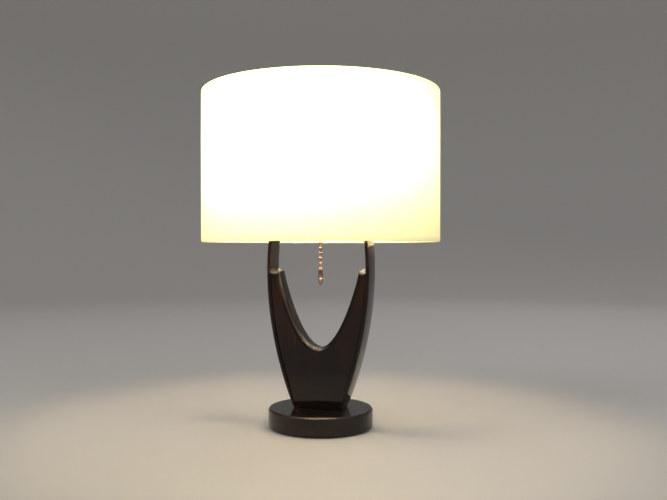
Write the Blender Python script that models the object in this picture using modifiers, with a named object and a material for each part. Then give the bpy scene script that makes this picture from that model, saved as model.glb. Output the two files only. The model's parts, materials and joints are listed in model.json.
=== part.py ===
"""Table lamp: a round wooden base, a forked yoke between two bentwood arms, a pull-chain socket on a crossbar,
and a straight drum shade held by a harp.

The origin is on the table at the middle of the base, +Z is up, and -Y is the front. The arms stand at +X and -X.
Sizes below are in millimetres and are turned into metres where a shape is made.
"""
import math

import bmesh
import bpy
from mathutils import Matrix, Quaternion, Vector

MM = 0.001
GAP = 0.3  # space between pieces that touch

# Base
DISC_R, DISC_BOTTOM, DISC_TOP, DISC_FILLET = 67.2, 1.8, 25.0, 2.5
RECESS_R, RECESS_TOP = 53.0, 13.3
FELT_R, FELT_T = 65.0, 1.5
WIRE_HOLE_R = 5.0
WEIGHT_R, WEIGHT_BOTTOM, WEIGHT_TOP = 51.0, 5.0, 13.0
WEIGHT_SCREW_CIRCLE_R = 38.0
BOLT_X, BOLT_TOP = 18.0, 65.0
CORD_Z = 8.2

# Arms and yoke: x is half the width across, z the height
YOKE_DEPTH, ARM_DEPTH = 27.0, 30.0
ARM_T, ARM_TOE_T, ARM_TAPER_TOP, ARM_TOP = 4.8, 2.0, 75.0, 262.0
ARM_CURVE = ((31.3, 25.0), (35.0, 30.0), (84.4, 143.0), (63.6, 262.0))
YOKE_CURVE = ((0.0, 102.0), (30.4, 102.0), (53.8, 196.5), (53.4, 199.0))
HORN_TOP, HORN_R, HORN_DOME, DOME_BOTTOM = 202.5, 3.5, 5.5, 180.0
YOKE_ROUND, HORN_ROUND_SHARE = 5.5, 0.6
DOWEL_R, DOWEL_IN_YOKE, DOWEL_IN_ARM, DOWEL_HEIGHTS = 2.5, 12.0, 2.2, (85.0, 150.0)

# Crossbar and what stands on it
BAR_BOTTOM, BAR_TOP, BAR_DEPTH = 246.0, 258.0, 22.0
BAR_SCREW_Z, BAR_SCREW_Y = 252.0, 6.0
NIPPLE_R, NIPPLE_BORE_R, NIPPLE_BOTTOM, NIPPLE_TOP = 4.8, 3.4, 240.5, 267.0
SADDLE_BOTTOM, SADDLE_TOP = 259.6, 261.1
LEG_X, HARP_WIRE_R = 24.0, 1.6
HARP_PLATE_BOTTOM, HARP_PLATE_TOP = 398.0, 401.0

# Shade
SHADE_R, SHADE_BOTTOM, SHADE_TOP = 152.4, 237.1, 428.8
FABRIC_T, LINER_T = 0.8, 0.5
RING_R, RING_WIRE_R = 149.0, 1.3
HUB_BOTTOM, HUB_TOP = 402.9, 404.9

# Socket, switch and chain
SHELL_R = 15.9
CHAIN_AZIMUTH = math.radians(-71.0)
CHAIN_RADIUS = 22.7
PIVOT_RADIUS, PIVOT_Z, LEVER_LENGTH = 8.0, 279.5, 15.0
LEVER_TILT = math.radians(16.0)
BEAD_R, BEAD_PITCH, LINK_R = 2.4, 6.35, 0.5
LOWEST_BEAD_Z, LOWER_BEADS, UPPER_BEADS = 210.6, 9, 4
BELL_PIVOT_Z = 206.55
JOINT_GAP = 0.3

COLOURS = {
    "espresso_wood": ((0.045, 0.020, 0.012), 0.22, 0.0),
    "birch": ((0.62, 0.45, 0.27), 0.60, 0.0),
    "felt": ((0.03, 0.03, 0.03), 0.95, 0.0),
    "iron": ((0.10, 0.10, 0.11), 0.60, 1.0),
    "steel": ((0.60, 0.60, 0.62), 0.30, 1.0),
    "brass": ((0.72, 0.50, 0.22), 0.28, 1.0),
    "copper_brass": ((0.60, 0.27, 0.13), 0.25, 1.0),
    "black_plastic": ((0.02, 0.02, 0.02), 0.40, 0.0),
    "phenolic": ((0.05, 0.03, 0.02), 0.35, 0.0),
    "card": ((0.30, 0.22, 0.14), 0.90, 0.0),
    "white_wire": ((0.80, 0.80, 0.78), 0.35, 1.0),
    "shade_fabric": ((0.93, 0.90, 0.78), 0.90, 0.0),
    "shade_liner": ((0.92, 0.91, 0.87), 0.50, 0.0),
    "bulb_glass": ((0.97, 0.95, 0.90), 0.30, 0.0),
}


def empty_scene():
    for obj in list(bpy.data.objects):
        bpy.data.objects.remove(obj, do_unlink=True)


def new_collection(name):
    collection = bpy.data.collections.new(name)
    bpy.context.scene.collection.children.link(collection)
    return collection


def make_material(name):
    colour, roughness, metallic = COLOURS[name]
    material = bpy.data.materials.new(name)
    material.use_nodes = True
    shader = material.node_tree.nodes["Principled BSDF"]
    shader.inputs["Base Color"].default_value = (*colour, 1.0)
    shader.inputs["Roughness"].default_value = roughness
    shader.inputs["Metallic"].default_value = metallic
    return material


empty_scene()
LAMP = new_collection("table_lamp")
CUTTERS = new_collection("cutters")
MATERIALS = {name: make_material(name) for name in COLOURS}


# ---- Shared shape makers ----

def keep(name, data, colour):
    """Links a new object that is one piece of the lamp."""
    obj = bpy.data.objects.new(name, data)
    obj.data.materials.clear()
    obj.data.materials.append(MATERIALS[colour])
    LAMP.objects.link(obj)
    return obj


def as_cutter(obj):
    """Moves an object from the lamp to the cutters."""
    LAMP.objects.unlink(obj)
    CUTTERS.objects.link(obj)
    obj.hide_render = True
    obj.display_type = "WIRE"
    return obj


def boolean(target, tool, operation="DIFFERENCE"):
    modifier = target.modifiers.new(operation.lower(), "BOOLEAN")
    modifier.operation = operation
    modifier.object = as_cutter(tool)
    modifier.solver = "EXACT"


def smooth(obj, angle=35.0):
    obj.data.shade_smooth()
    obj.data.set_sharp_from_angle(angle=math.radians(angle))


def mesh_from(build):
    """Makes a mesh from a function that fills a bmesh."""
    bm = bmesh.new()
    build(bm)
    mesh = bpy.data.meshes.new("shape")
    bm.to_mesh(mesh)
    bm.free()
    return mesh


def turned(name, profile, colour, segments=24, at=(0.0, 0.0, 0.0), along=(0.0, 0.0, 1.0)):
    """Turns a profile of (radius, height) points about its own axis.

    The points run down the outer side, from top to bottom. A profile whose ends are both on the axis is
    solid in the middle, and any other is closed into a ring.
    """
    solid = profile[0][0] == 0 and profile[-1][0] == 0
    mesh = bpy.data.meshes.new(name)
    corners = [(radius * MM, 0.0, height * MM) for radius, height in profile]
    edges = [(i, i + 1) for i in range(len(corners) - 1)]
    if not solid:
        edges.append((len(corners) - 1, 0))
    mesh.from_pydata(corners, edges, [])
    obj = keep(name, mesh, colour)
    screw = obj.modifiers.new("turn", "SCREW")
    screw.angle = math.tau
    screw.steps = segments
    screw.render_steps = segments
    screw.use_merge_vertices = True
    screw.merge_threshold = 0.00001
    screw.use_smooth_shade = True
    obj.rotation_mode = "QUATERNION"
    obj.rotation_quaternion = Vector((0, 0, 1)).rotation_difference(Vector(along))
    obj.location = Vector(at) * MM
    return obj


def tube_profile(inner, outer, bottom, top):
    return [(outer, top), (outer, bottom), (inner, bottom), (inner, top)]


def rod_profile(radius, bottom, top, chamfer=0.4):
    return [
        (0, top), (radius - chamfer, top), (radius, top - chamfer),
        (radius, bottom + chamfer), (radius - chamfer, bottom), (0, bottom),
    ]


def screw_profile(head_r, head_h, shank_r, length, clearance=0.0):
    """A screw with its head's outer face at height 0, pointing down; clearance grows it into its own hole."""
    over = 5.0 if clearance else 0.0
    return [
        (0, over), (head_r + clearance, over), (head_r + clearance, -head_h - clearance),
        (shank_r + clearance, -head_h - clearance), (shank_r + clearance, -length - clearance),
        (0, -length - clearance),
    ]


def rod_cutter(radius, start, end, segments=12):
    """A plain cylinder from start to end, to drill a hole with."""
    start, end = Vector(start), Vector(end)
    length = (end - start).length
    profile = [(0, length), (radius, length), (radius, 0), (0, 0)]
    rod = turned("drill", profile, "steel", segments, at=start, along=(end - start).normalized())
    half_step = Quaternion((0, 0, 1), math.pi / segments)
    rod.rotation_quaternion = rod.rotation_quaternion @ half_step
    return rod


def drill(target, radius, start, end, segments=12):
    boolean(target, rod_cutter(radius, start, end, segments))


def box(name, low, high, colour):
    """A box between two corners."""
    low, high = Vector(low) * MM, Vector(high) * MM
    size, middle = high - low, (high + low) / 2

    def build(bm):
        bmesh.ops.create_cube(bm, size=1.0)
        bmesh.ops.scale(bm, vec=size, verts=bm.verts)
        bmesh.ops.translate(bm, vec=middle, verts=bm.verts)

    return keep(name, mesh_from(build), colour)


def wire(name, points, radius, colour, sides=2):
    """A round wire along points, with filled ends."""
    curve = bpy.data.curves.new(name, "CURVE")
    curve.dimensions = "3D"
    curve.bevel_depth = radius * MM
    curve.bevel_resolution = sides
    curve.use_fill_caps = True
    curve.render_resolution_u = 0
    spline = curve.splines.new("POLY")
    spline.points.add(len(points) - 1)
    for point, corner in zip(spline.points, points):
        point.co = (*(Vector(corner) * MM), 1.0)
    return keep(name, curve, colour)


def curve_to_mesh(obj, colour):
    """Replaces a curve object with its closed mesh, so that it can be cut or joined."""
    bpy.context.view_layer.update()
    shape = obj.evaluated_get(bpy.context.evaluated_depsgraph_get())
    mesh = bpy.data.meshes.new_from_object(shape)
    bm = bmesh.new()
    bm.from_mesh(mesh)
    bmesh.ops.remove_doubles(bm, verts=bm.verts, dist=0.00001)
    bm.to_mesh(mesh)
    bm.free()
    name, place = obj.name, obj.matrix_world.copy()
    bpy.data.objects.remove(obj, do_unlink=True)
    solid = keep(name, mesh, colour)
    solid.matrix_world = place
    return solid


def bezier(corners, count):
    """Points on a cubic Bezier curve."""
    a, b, c, d = (Vector(corner) for corner in corners)
    steps = [i / count for i in range(count + 1)]
    return [a * (1 - t) ** 3 + b * 3 * t * (1 - t) ** 2 + c * 3 * t * t * (1 - t) + d * t ** 3 for t in steps]


def through(corners, steps):
    """Points on a smooth curve that passes through every corner."""
    corners = [Vector(corner) for corner in corners]
    padded = [2 * corners[0] - corners[1], *corners, 2 * corners[-1] - corners[-2]]
    points = []
    for a, b, c, d in zip(padded, padded[1:], padded[2:], padded[3:]):
        for i in range(steps):
            t = i / steps
            slope_b, slope_c = (c - a) / 2, (d - b) / 2
            points.append(
                b * (2 * t ** 3 - 3 * t * t + 1) + slope_b * (t ** 3 - 2 * t * t + t)
                + c * (3 * t * t - 2 * t ** 3) + slope_c * (t ** 3 - t * t)
            )
    return [*points, corners[-1]]


def arc(centre, radius, start, end, count):
    """Points on an arc of a circle, angles in degrees."""
    angles = [math.radians(start + (end - start) * i / count) for i in range(count + 1)]
    return [(centre[0] + radius * math.cos(a), centre[1] + radius * math.sin(a)) for a in angles]


def chain_side(radius, across, height):
    """A point in the chain's own directions: out from the lamp's axis, across it, and up."""
    out = Vector((math.cos(CHAIN_AZIMUTH), math.sin(CHAIN_AZIMUTH), 0))
    side = Vector((-math.sin(CHAIN_AZIMUTH), math.cos(CHAIN_AZIMUTH), 0))
    return out * radius + side * across + Vector((0, 0, height))


# ---- Base ----

def make_base():
    rim = arc((DISC_R - DISC_FILLET, DISC_TOP - DISC_FILLET), DISC_FILLET, 90, 0, 3)
    disc = turned("base_disc", [
        (WIRE_HOLE_R, DISC_TOP), *rim, (DISC_R, DISC_BOTTOM + 0.8), (DISC_R - 0.8, DISC_BOTTOM),
        (RECESS_R, DISC_BOTTOM), (RECESS_R, RECESS_TOP), (WIRE_HOLE_R, RECESS_TOP),
    ], "espresso_wood", segments=52)
    turned("base_felt", [(0, FELT_T), (FELT_R, FELT_T), (FELT_R, 0), (0, 0)], "felt", segments=40)
    weight = turned("base_weight", tube_profile(WIRE_HOLE_R + 1, WEIGHT_R, WEIGHT_BOTTOM, WEIGHT_TOP), "iron", 36)
    boolean(weight, box("cord_slot", (-5, 0, 0), (5, WEIGHT_R + 5, 20), "steel"))

    for side, word in ((-1, "left"), (1, "right")):
        x = side * BOLT_X
        head_top = RECESS_TOP - GAP - 1.0 - GAP
        bolt_at = (x, 0, head_top - 3.5)
        profile = screw_profile(5.5, 3.5, 3.0, BOLT_TOP - bolt_at[2])
        turned(f"yoke_bolt_{word}", profile, "steel", 12, at=bolt_at, along=(0, 0, -1))
        washer = tube_profile(3.4, 8.0, head_top + GAP, RECESS_TOP - GAP)
        turned(f"bolt_washer_{word}", washer, "steel", 16, at=(x, 0, 0))
        drill(disc, 3.0 + GAP, (x, 0, 8), (x, 0, 30))
        drill(weight, 9.0, (x, 0, 0), (x, 0, 20), 14)

    for number, angle in enumerate((-90, 30, 150), start=1):
        x = WEIGHT_SCREW_CIRCLE_R * math.cos(math.radians(angle))
        y = WEIGHT_SCREW_CIRCLE_R * math.sin(math.radians(angle))
        head = (x, y, WEIGHT_BOTTOM - GAP - 2.3)
        turned(f"weight_screw_{number}", screw_profile(4.0, 2.3, 1.75, 19.0), "steel", 10, at=head, along=(0, 0, -1))
        drill(disc, 1.75 + GAP, (x, y, 8), (x, y, 22.2), 8)
        drill(weight, 2.3, (x, y, 0), (x, y, 20), 8)

    drill(disc, 4.6, (0, RECESS_R - 8, CORD_Z), (0, DISC_R + 8, CORD_Z))
    bushing = [(6.2, 69.4), (6.2, 67.6), (4.3, 67.6), (4.3, 52.0), (3.2, 52.0), (3.2, 68.6), (4.0, 69.4)]
    turned("cord_bushing", bushing, "black_plastic", 20, at=(0, 0, CORD_Z), along=(0, 1, 0))


# ---- Arms and yoke ----

ARM_OUTER = bezier(ARM_CURVE, 28)


def arm_half_width(height):
    """Half the width across the arms' outer faces at a height."""
    for low, high in zip(ARM_OUTER, ARM_OUTER[1:]):
        if low.y <= height <= high.y:
            share = (height - low.y) / (high.y - low.y)
            return low.x + (high.x - low.x) * share
    return ARM_OUTER[-1].x


def arm_inner(height):
    """Half the width between the arms' inner faces: the arm is thin at its toe and full above its taper."""
    slope = arm_half_width(min(height + 2, ARM_TOP)) - arm_half_width(max(height - 2, DISC_TOP))
    share = min(1.0, (height - DISC_TOP) / (ARM_TAPER_TOP - DISC_TOP))
    thickness = ARM_TOE_T + (ARM_T - ARM_TOE_T) * math.sin(share * math.pi / 2)
    return arm_half_width(height) - thickness * math.hypot(1.0, slope / 4)


def heights(low, high, count):
    return [low + (high - low) * i / count for i in range(count + 1)]


def extruded(name, outline, depth, colour):
    """A flat outline in the XZ plane, given its depth along Y."""
    curve = bpy.data.curves.new(name, "CURVE")
    curve.dimensions = "2D"
    curve.fill_mode = "BOTH"
    curve.extrude = depth * MM / 2
    curve.render_resolution_u = 0
    spline = curve.splines.new("POLY")
    spline.points.add(len(outline) - 1)
    for point, (x, z) in zip(spline.points, outline):
        point.co = (x * MM, z * MM, 0.0, 1.0)
    spline.use_cyclic_u = True
    obj = keep(name, curve, colour)
    obj.rotation_euler = (math.pi / 2, 0, 0)
    return curve_to_mesh(obj, colour)


def soften(obj, width, segments=2):
    bevel = obj.modifiers.new("soften", "BEVEL")
    bevel.width = width * MM
    bevel.segments = segments
    bevel.limit_method = "ANGLE"
    bevel.angle_limit = math.radians(50)


def make_arm(side, word):
    levels = heights(DISC_TOP + GAP, ARM_TOP, 20)
    outer = [(side * arm_half_width(z), z) for z in levels]
    inner = [(side * arm_inner(z), z) for z in levels]
    arm = extruded(f"arm_{word}", [*outer, *reversed(inner)], ARM_DEPTH, "espresso_wood")
    soften(arm, 0.5, 1)
    for z in DOWEL_HEIGHTS:
        x = arm_inner(z)
        drill(arm, DOWEL_R + GAP, (side * (x - 8), 0, z), (side * (x + DOWEL_IN_ARM + GAP), 0, z))
    for y in (-BAR_SCREW_Y, BAR_SCREW_Y):
        cutter = screw_profile(3.6, 2.5, 1.9, 28.0, clearance=GAP)
        head = (side * (arm_half_width(BAR_SCREW_Z) - 0.4), y, BAR_SCREW_Z)
        boolean(arm, turned("screw_hole", cutter, "steel", 10, at=head, along=(side, 0, 0)))
    smooth(arm)


def yoke_run():
    """The yoke's rounded edge from the right arm, over the horn and down to the bottom of the V."""
    top_x = arm_inner(HORN_TOP) - GAP
    horn = arc((YOKE_CURVE[3][0] + HORN_R, HORN_TOP - HORN_R), HORN_R, 90, 180, 4)
    valley = [tuple(point) for point in reversed(bezier(YOKE_CURVE, 14))]
    return [(top_x, HORN_TOP), *horn[:-1], *valley]


def domed(y, z):
    """The height of a horn's point once its tip falls away towards the front and the back."""
    fall = 1 - math.sqrt(max(0.0, 1 - (2 * y / YOKE_DEPTH) ** 2))
    return z - HORN_DOME * fall * max(0.0, (z - DOME_BOTTOM) / (HORN_TOP - DOME_BOTTOM))


def make_yoke():
    """A block whose upper edge is rounded front and back; its sides lie against the arms."""
    side_levels = heights(DISC_TOP + GAP, HORN_TOP, 10)[:-1]
    side = [(arm_inner(z) - GAP, z) for z in side_levels]
    run = yoke_run()
    inward = []
    for i, (x, z) in enumerate(run):
        before, after = run[max(i - 1, 0)], run[min(i + 1, len(run) - 1)]
        along = Vector((after[0] - before[0], after[1] - before[1])).normalized()
        inward.append(Vector((-along.y, along.x)))
    inward[-1] = Vector((0, -1))
    widths = [YOKE_ROUND * min(1.0, HORN_ROUND_SHARE + (HORN_TOP - z) / 40) for _, z in run]

    def outline(turn):
        """The outline where the rounding has turned by an angle from the flat side towards the face."""
        inset = 1 - math.cos(turn)
        right = [*side, *((x + n.x * w * inset, z + n.y * w * inset) for (x, z), n, w in zip(run, inward, widths))]
        return [*right, *((-x, z) for x, z in reversed(right[:-1]))]

    turns = [0, math.pi / 6, math.pi / 3, math.pi / 2]
    fronts = [(-YOKE_DEPTH / 2 + YOKE_ROUND * (1 - math.sin(turn)), outline(turn)) for turn in reversed(turns)]
    middle = [(y, outline(0)) for y in (-4.0, 0.0, 4.0)]
    sections = [*fronts, *middle, *((-y, points) for y, points in reversed(fronts))]

    def build(bm):
        rings = [[bm.verts.new((x * MM, y * MM, domed(y, z) * MM)) for x, z in points] for y, points in sections]
        for front, back in zip(rings, rings[1:]):
            for i in range(len(front)):
                j = (i + 1) % len(front)
                bm.faces.new((front[i], back[i], back[j], front[j]))
        bm.faces.new(rings[0])
        bm.faces.new(reversed(rings[-1]))
        bmesh.ops.recalc_face_normals(bm, faces=bm.faces)

    yoke = keep("yoke_block", mesh_from(build), "espresso_wood")
    for x in (-BOLT_X, BOLT_X):
        drill(yoke, 3.0 + GAP, (x, 0, 20), (x, 0, BOLT_TOP + 0.5))
    for side_sign in (-1, 1):
        for z in DOWEL_HEIGHTS:
            x = arm_inner(z)
            drill(yoke, DOWEL_R + GAP, (side_sign * (x - DOWEL_IN_YOKE - GAP), 0, z), (side_sign * (x + 5), 0, z))
    smooth(yoke, 40)


def make_dowels():
    for side, word in ((-1, "left"), (1, "right")):
        for z, level in zip(DOWEL_HEIGHTS, ("lower", "upper")):
            profile = rod_profile(DOWEL_R, -DOWEL_IN_YOKE, DOWEL_IN_ARM, 0.6)
            at = (side * arm_inner(z), 0, z)
            turned(f"dowel_{word}_{level}", profile, "birch", 10, at=at, along=(side, 0, 0))


# ---- Crossbar, nipple, saddle and harp ----

def make_crossbar():
    low, high = arm_inner(BAR_BOTTOM) - GAP, arm_inner(BAR_TOP) - GAP
    outline = [(-low, BAR_BOTTOM), (low, BAR_BOTTOM), (high, BAR_TOP), (-high, BAR_TOP)]
    bar = extruded("crossbar", outline, BAR_DEPTH, "espresso_wood")
    soften(bar, 1.0, 1)
    drill(bar, NIPPLE_R + GAP, (0, 0, BAR_BOTTOM - 5), (0, 0, BAR_TOP + 5), 20)
    for side, word in ((-1, "left"), (1, "right")):
        for y, place in ((-BAR_SCREW_Y, "front"), (BAR_SCREW_Y, "back")):
            head = (side * (arm_half_width(BAR_SCREW_Z) - 0.4), y, BAR_SCREW_Z)
            profile = screw_profile(3.6, 2.5, 1.9, 28.0)
            turned(f"bar_screw_{word}_{place}", profile, "steel", 10, at=head, along=(side, 0, 0))
            far = (side * (head[0] * side - 28.4), y, BAR_SCREW_Z)
            drill(bar, 1.9 + GAP, far, head, 10)
    smooth(bar)


def make_nipple():
    turned("threaded_nipple", tube_profile(NIPPLE_BORE_R, NIPPLE_R, NIPPLE_BOTTOM, NIPPLE_TOP), "brass", 20)
    nut_top, nut_bottom = BAR_BOTTOM - GAP, BAR_BOTTOM - 4.3
    nut = turned("nipple_nut", [(0, nut_top), (8.1, nut_top), (8.1, nut_bottom), (0, nut_bottom)], "brass", 6)
    drill(nut, NIPPLE_R + GAP, (0, 0, nut_bottom - 3), (0, 0, nut_top + 3), 20)
    turned("nipple_washer", tube_profile(NIPPLE_R + GAP, 10.0, BAR_TOP + GAP, SADDLE_BOTTOM - GAP), "brass", 24)


def make_saddle():
    saddle = box("harp_saddle", (-28, -7, SADDLE_BOTTOM), (28, 7, SADDLE_TOP), "brass")
    for x in (-LEG_X, LEG_X):
        pin = [(0, 266), (1.1, 266), (1.6, 265.4), (1.6, SADDLE_BOTTOM + 0.7), (0, SADDLE_BOTTOM + 0.7)]
        boolean(saddle, turned("pin", pin, "brass", 12, at=(x, 0, 0)), "UNION")
    drill(saddle, NIPPLE_R + GAP, (0, 0, SADDLE_BOTTOM - 5), (0, 0, SADDLE_TOP + 5), 24)


def make_harp():
    leg = [
        (LEG_X, 0, 266.3), (LEG_X, 0, 277), (LEG_X, 0, 287), (25.4, 0, 295), (34, 0, 310), (46, 0, 328),
        (52, 0, 349), (49, 0, 371), (36, 0, 390), (18, 0, 398.6), (7, 0, 399.5),
    ]
    whole = [*leg, *((-x, y, z) for x, y, z in reversed(leg))]
    harp = curve_to_mesh(wire("harp", through(whole, 2), HARP_WIRE_R, "brass", 1), "brass")
    plate = rod_profile(8.0, HARP_PLATE_BOTTOM, HARP_PLATE_TOP, 0.5)
    boolean(harp, turned("plate", plate, "brass", 16), "UNION")
    drill(harp, 3.4, (0, 0, HARP_PLATE_BOTTOM - 5), (0, 0, HARP_PLATE_TOP + 5), 14)
    smooth(harp)
    for side, word in ((-1, "left"), (1, "right")):
        ferrule = [(2.7, 275.5), (3.4, 274.7), (3.4, 262.4), (2.9, 261.6), (1.95, 261.6), (1.95, 275.5)]
        turned(f"harp_ferrule_{word}", ferrule, "brass", 12, at=(side * LEG_X, 0, 0))
    turned("harp_stud", [
        (0, 412), (2.5, 412), (3.05, 411.4), (3.05, 402.6), (6.5, 402.6), (6.5, 401.3), (3.05, 401.3),
        (3.05, 397.7), (5.5, 397.7), (5.5, 396.2), (0, 396.2),
    ], "brass", 16)


# ---- Shade and finial ----

def make_shade():
    inner = SHADE_R - FABRIC_T
    turned("shade_fabric", tube_profile(inner, SHADE_R, SHADE_BOTTOM, SHADE_TOP), "shade_fabric", 64)
    liner_r = inner - GAP
    turned("shade_liner", tube_profile(liner_r - LINER_T, liner_r, SHADE_BOTTOM + 1.4, SHADE_TOP - 1.4), "shade_liner", 64)
    for word, z in (("bottom", SHADE_BOTTOM + 2.2), ("top", SHADE_TOP - 2.2)):
        ring = arc((RING_R, z), RING_WIRE_R, 90, -198, 4)
        turned(f"shade_{word}_ring", ring, "white_wire", 40)


def make_spider():
    """The shade's hub with three arms that rise to the top ring."""
    hub_z = (HUB_BOTTOM + HUB_TOP) / 2
    spider = turned("shade_spider", tube_profile(3.6, 11.0, HUB_BOTTOM, HUB_TOP), "white_wire", 16)
    for number in range(3):
        angle = math.radians(90 + 120 * number)
        out = Vector((math.cos(angle), math.sin(angle), 0))
        route = [(8, hub_z), (22, hub_z), (28, hub_z + 0.4), (138, 422.6), (144, 424.6), (147.1, 426.4)]
        points = [out * radius + Vector((0, 0, z)) for radius, z in route]
        spoke = curve_to_mesh(wire(f"spoke_{number}", points, 1.4, "white_wire", 1), "white_wire")
        boolean(spider, spoke, "UNION")
    drill(spider, 3.5, (0, 0, HUB_BOTTOM - 3), (0, 0, HUB_TOP + 3), 14)


def make_finial():
    ball = arc((0, 416.6), 7.0, 80, -40, 5)
    turned("finial", [
        (0, 424.6), *ball, (4.7, 410.4), (4.7, 409.2), (6.6, 407.2), (6.6, HUB_TOP + GAP),
        (3.4, HUB_TOP + GAP), (3.4, 412.4), (0, 413.6),
    ], "brass", 18)


# ---- Socket and switch ----

def make_socket():
    turned("socket_cap", [
        (17.0, 275.0), (17.0, 271.2), (15.8, 268.0), (12.5, 264.2), (8.5, SADDLE_TOP + GAP), (NIPPLE_R + GAP, SADDLE_TOP + GAP),
        (NIPPLE_R + GAP, 262.4), (8.2, 262.4), (11.9, 264.9), (15.0, 268.4), (16.2, 271.5), (16.2, 275.0),
    ], "brass")
    shell = turned("socket_shell", [
        (17.0, 321.0), (17.3, 320.0), (17.0, 318.6), (SHELL_R, 317.4), (SHELL_R, 272.6),
        (15.2, 272.6), (15.2, 317.7), (16.3, 319.0), (16.3, 321.0),
    ], "brass")
    liner = turned("socket_liner", tube_profile(14.4, 14.9, 274.9, 316.5), "card")
    body = turned("socket_body", [
        (0, 291), (13.6, 291), (14.1, 290.5), (14.1, 274.6), (11.5, 274.6), (11.5, 268.4), (0, 268.4),
    ], "phenolic")
    turned("socket_thread", tube_profile(13.5, 14.0, 291.3, 316.0), "brass")
    turned("socket_contact", rod_profile(4.0, 291.3, 292.3, 0.3), "brass", 12)

    for x, word in ((-1, "left"), (1, "right")):
        head = (x * 14.1, 0, 271.5)
        turned(f"terminal_screw_{word}", screw_profile(2.6, 2.2, 1.4, 8.0), "brass", 10, at=head, along=(x, 0, 0))
        drill(body, 1.4 + GAP, (x * 5.8, 0, 271.5), (x * 13, 0, 271.5), 10)

    for part, near in ((body, 3.0), (liner, 13.0), (shell, 14.0)):
        slot = box("lever_slot", (near, -3.5, 275.6), (SHELL_R + 3, 3.5, 283.4), "steel")
        slot.rotation_euler = (0, 0, CHAIN_AZIMUTH)
        boolean(part, slot)
    drill(body, 1.3, chain_side(PIVOT_RADIUS, -5.8, PIVOT_Z), chain_side(PIVOT_RADIUS, 5.8, PIVOT_Z), 10)


def make_switch():
    """The lever that the chain pulls down, with its pin and the guide that the chain runs through."""
    pivot = chain_side(PIVOT_RADIUS, 0, PIVOT_Z)
    lever = box("switch_lever", (0, -3, -0.5), (LEVER_LENGTH + 2.6, 3, 0.5), "steel")
    boolean(lever, rod_cutter(2.2, (0, -3, 0), (0, 3, 0)), "UNION")
    boolean(lever, rod_cutter(1.3, (0, -6, 0), (0, 6, 0)))
    fork = box("fork", (LEVER_LENGTH - 1.6, -0.95, -3), (LEVER_LENGTH + 6, 0.95, 3), "steel")
    boolean(lever, fork)
    turn = Matrix.Rotation(CHAIN_AZIMUTH, 4, "Z") @ Matrix.Rotation(-LEVER_TILT, 4, "Y")
    for obj in (lever, *(modifier.object for modifier in lever.modifiers)):
        obj.matrix_world = Matrix.Translation(pivot * MM) @ turn @ obj.matrix_basis
    across = chain_side(0, 1, 0)
    turned("lever_pin", rod_profile(1.0, -5.4, 5.4, 0.2), "steel", 10, at=pivot, along=across)

    ring = [(4.3, 272.5), (4.3, 268.0), (5.3, 266.2), (4.6, 266.2), (3.4, 267.8), (3.4, 272.5)]
    guide = turned("chain_guide", ring, "brass", 16, at=chain_side(CHAIN_RADIUS, 0, 0))
    bracket = box("bracket", (17.3, -2.5, 268.6), (CHAIN_RADIUS - 3.8, 2.5, 271.8), "brass")
    bracket.rotation_euler = (0, 0, CHAIN_AZIMUTH)
    boolean(guide, bracket, "UNION")


# ---- Chain and pull ----

def chain_profile(lowest, count, top_stub, bottom_stub):
    """Beads on a wire as one turned profile, from the top down."""
    half = math.degrees(math.asin(LINK_R / BEAD_R))
    profile = [(0, top_stub), (LINK_R, top_stub)] if top_stub else [(0, lowest + BEAD_PITCH * (count - 1) + BEAD_R)]
    for number in reversed(range(count)):
        middle = lowest + BEAD_PITCH * number
        first = 90 - half if (top_stub or number < count - 1) else 60
        profile += arc((0, middle), BEAD_R, first, -90 + half, 4)
    return [*profile, (LINK_R, bottom_stub), (0, bottom_stub)]


def make_chain():
    at = chain_side(CHAIN_RADIUS, 0, 0)
    split = LOWEST_BEAD_Z + BEAD_PITCH * (LOWER_BEADS - 0.5)
    upper = chain_profile(split + BEAD_PITCH / 2, UPPER_BEADS, 0, split + JOINT_GAP / 2)
    lower = chain_profile(LOWEST_BEAD_Z, LOWER_BEADS, split - JOINT_GAP / 2, BELL_PIVOT_Z + JOINT_GAP / 2)
    turned("chain_upper", upper, "copper_brass", 8, at=at)
    turned("chain_lower", lower, "copper_brass", 8, at=at)
    stub_top = BELL_PIVOT_Z - JOINT_GAP / 2
    turned("bell_pull", [
        (0, stub_top), (LINK_R, stub_top), (LINK_R, 205.5), (1.6, 205.2), (2.5, 204.0), (2.9, 201.5), (3.1, 197.0),
        (3.2, 192.4), (3.8, 191.2), (3.9, 190.2), (3.5, 189.2), (3.0, 187.6), (2.3, 185.2), (1.5, 183.4), (0, 182.5),
    ], "copper_brass", 14, at=at)


# ---- Bulb ----

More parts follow.
